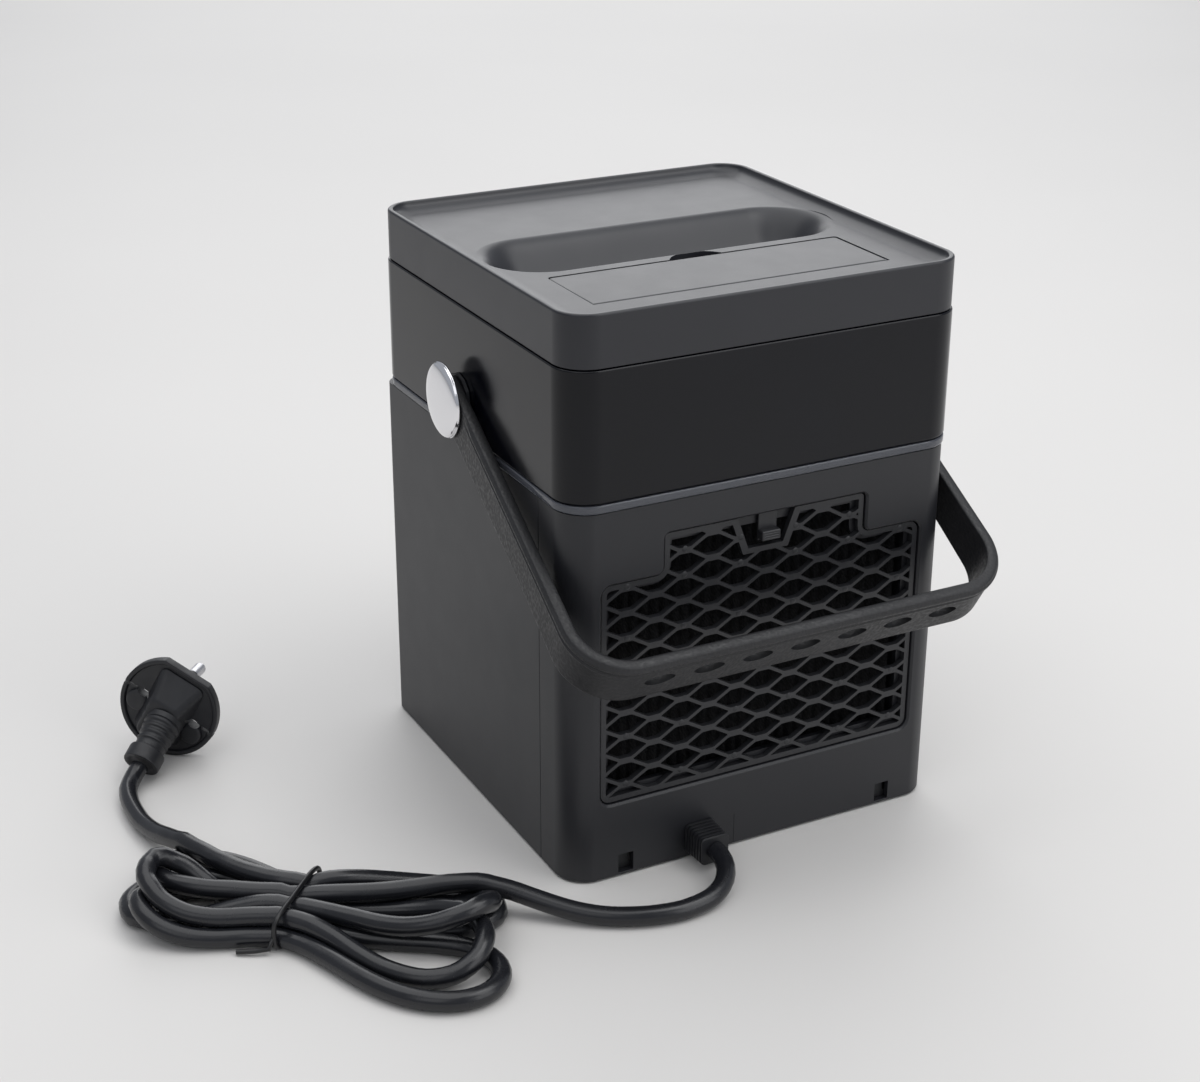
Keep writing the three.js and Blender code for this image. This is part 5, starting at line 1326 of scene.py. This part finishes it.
def collar_place(points):
    """From the sleeve's own axes to the frame, its end at the cord."""
    x = np.cross((0, 0, 1), COLLAR_AXIS)
    x /= np.linalg.norm(x)
    return turned(points, x, np.cross(COLLAR_AXIS, x), COLLAR_AXIS, COLLAR_END)


def moved_by(obj, place):
    """Sets a solid made on its own axes into the frame."""
    obj.data.vertices.foreach_set("co", (place(points_of(obj)) * MM).ravel())
    obj.data.update()
    outward(obj)
    return obj


class COOLER_OT_plug(bpy.types.Operator):
    """Form the round two-pin plug with its ribbed sleeve and half-sheathed pins"""

    bl_idname = "cooler.plug"
    bl_label = "Plug"

    def execute(self, context):
        radius, chord = 20.2, 17.8
        half_gap = math.degrees(math.acos(chord / radius))

        def disc(inset):
            return arc(0, 0, radius - inset, 90 + half_gap, 450 - half_gap, 97)

        rings = [(0.6, -2), (0.15, -1.85), (0, -1.4), (0, 1.5), (0.2, 1.85), (0.6, 2), (1.5, 2),
                 (1.9, 1.7), (2.2, 0.9)]
        body = loft("plug_moulding", [raised(disc(i), z) for i, z in rings])
        hub = loft("hub", [
            raised(rounded_rect(-w, w, b, t, 3.0, 6), z) for w, b, t, z in
            ((9.8, -14.5, 15.0, 0), (9.6, -14.3, 14.6, 1.6), (7.4, -13.2, 8.6, 5.4),
             (6.6, -12.6, 5.6, 8.2), (5.6, -11.6, 3.6, 9.0))])
        fuse(body, hub)
        for side in (-1, 1):
            pod = loft("pod", [raised(circle(side * 12.4, -4.4, r, 40), z) for r, z in
                               ((4.6, 0), (4.3, 2.2), (3.2, 3.0))])
            fuse(body, pod)
            a, b = sorted((side * 14.8, side * 25))
            carve(body, block("slit", (a, -0.55, -9), (b, 0.55, 9)))
            t = np.linspace(0, np.pi, 13)[:-1]
            lens = np.column_stack([2.9 * np.cos(t), 1.05 * np.sin(t) ** 1.2])
            lens = np.vstack([lens, -lens]) + [side * 11.2, 0]
            carve(body, slab_z("lens", lens, -9, 12))
        soften(body, 0)
        body.modifiers.clear()
        moved_by(body, plug_place)
        z = np.linspace(-21, -8, 53)
        ribs = 0.55 * np.clip(np.sin((z + 21) * 2 * np.pi / 2.6) * 2.2, -1, 1) * (z < -8.6) * (z > -19)
        taper = 5.9 + 1.6 * ((-z - 8) / 13) ** 1.2
        profile = list(zip(z, taper + 0.5 * ribs))
        profile += [(-6.6, 5.9), (-6.2, 6.4), (-5.9, 7.0), (-5.4, 7.2), (-0.5, 7.2), (-0.1, 7.0), (0, 6.6),
                    (-0.15, 5.7), (-0.7, 5.1), (-1.2, 4.2), (-1.2, 0.5)]
        sleeve = moved_by(lathe("sleeve", "Z", profile, (0, 0, 0), 64), collar_place)
        fuse(body, sleeve)
        soften(body, 0, shade=38)
        finish(body, "cabinet", finish_of("rubber"), "rubber", "plug_body")

        for i, sign in ((1, 1), (2, -1)):
            y = sign * 9.5
            t = np.linspace(0, np.pi / 2, 8)
            tip = [(-21.3 + 1.6 * (1 - math.cos(q)), 2.35 * math.sin(q) + 0.02) for q in t]
            shank = [(-12.2, 2.35), (-12.2, 1.9), (-2.3, 1.9), (-2.3, 0.2)]
            pin = lathe(f"plug_contact_{i}", "Z", tip + shank, (0, y, 0), 40)
            moved_by(pin, plug_place)
            soften(pin, 0)
            finish(pin, "cabinet", finish_of("steel"), "steel", f"plug_pin_{i}")
            cover = [(-12.0, 2.0), (-12.0, 2.4), (-2.05, 2.45), (-2.05, 2.0)]
            sheath = lathe(f"pin_sheath_{i}", "Z", cover, (0, y, 0), 40)
            carve(sheath, rod("bore", "Z", -14, 0, 0, y, 1.95, 40))
            moved_by(sheath, plug_place)
            soften(sheath, 0)
            finish(sheath, "cabinet", finish_of("rubber"), "rubber")
        return {"FINISHED"}


class COOLER_OT_inner(bpy.types.Operator):
    """Give every piece that stays as the frame made it the finish of its own material slot"""

    bl_idname = "cooler.inner"
    bl_label = "Inner pieces"

    def execute(self, context):
        slots = {s["node"]: s["material_slot"] for s in frame["record"]["subparts"]}
        for name, node in frame["nodes"].items():
            if node.hide_render:
                continue
            material = finish_of(slots[name])
            if not node.material_slots:
                node.data.materials.append(material)
            for used in node.material_slots:
                used.material = material
        return {"FINISHED"}


class COOLER_PT_panel(bpy.types.Panel):
    """Sizes, colours and builders of the desk cooler"""

    bl_idname = "COOLER_PT_panel"
    bl_label = "Desk cooler"
    bl_space_type = "VIEW_3D"
    bl_region_type = "UI"
    bl_category = "Desk cooler"

    def draw(self, context):
        column = self.layout.column()
        for group in (sizes(), colours()):
            for key in group.__annotations__:
                column.prop(group, key)
        for step in STEPS:
            column.operator(step.bl_idname)


STEPS = (COOLER_OT_stage, COOLER_OT_lead, COOLER_OT_housings, COOLER_OT_grille, COOLER_OT_tank,
         COOLER_OT_lid, COOLER_OT_strap, COOLER_OT_outlet, COOLER_OT_fan, COOLER_OT_buttons,
         COOLER_OT_relief, COOLER_OT_plug, COOLER_OT_inner)
CLASSES = (CoolerSizes, CoolerColours, *STEPS, COOLER_PT_panel)


def register():
    for item in CLASSES:
        bpy.utils.register_class(item)
    bpy.types.Scene.cooler_sizes = bpy.props.PointerProperty(type=CoolerSizes)
    bpy.types.Scene.cooler_colours = bpy.props.PointerProperty(type=CoolerColours)


def unregister():
    del bpy.types.Scene.cooler_colours
    del bpy.types.Scene.cooler_sizes
    for item in reversed(CLASSES):
        bpy.utils.unregister_class(item)


def main():
    register()
    for step in STEPS:
        group, name = step.bl_idname.split(".")
        getattr(getattr(bpy.ops, group), name)()


if __name__ == "__main__":
    main()
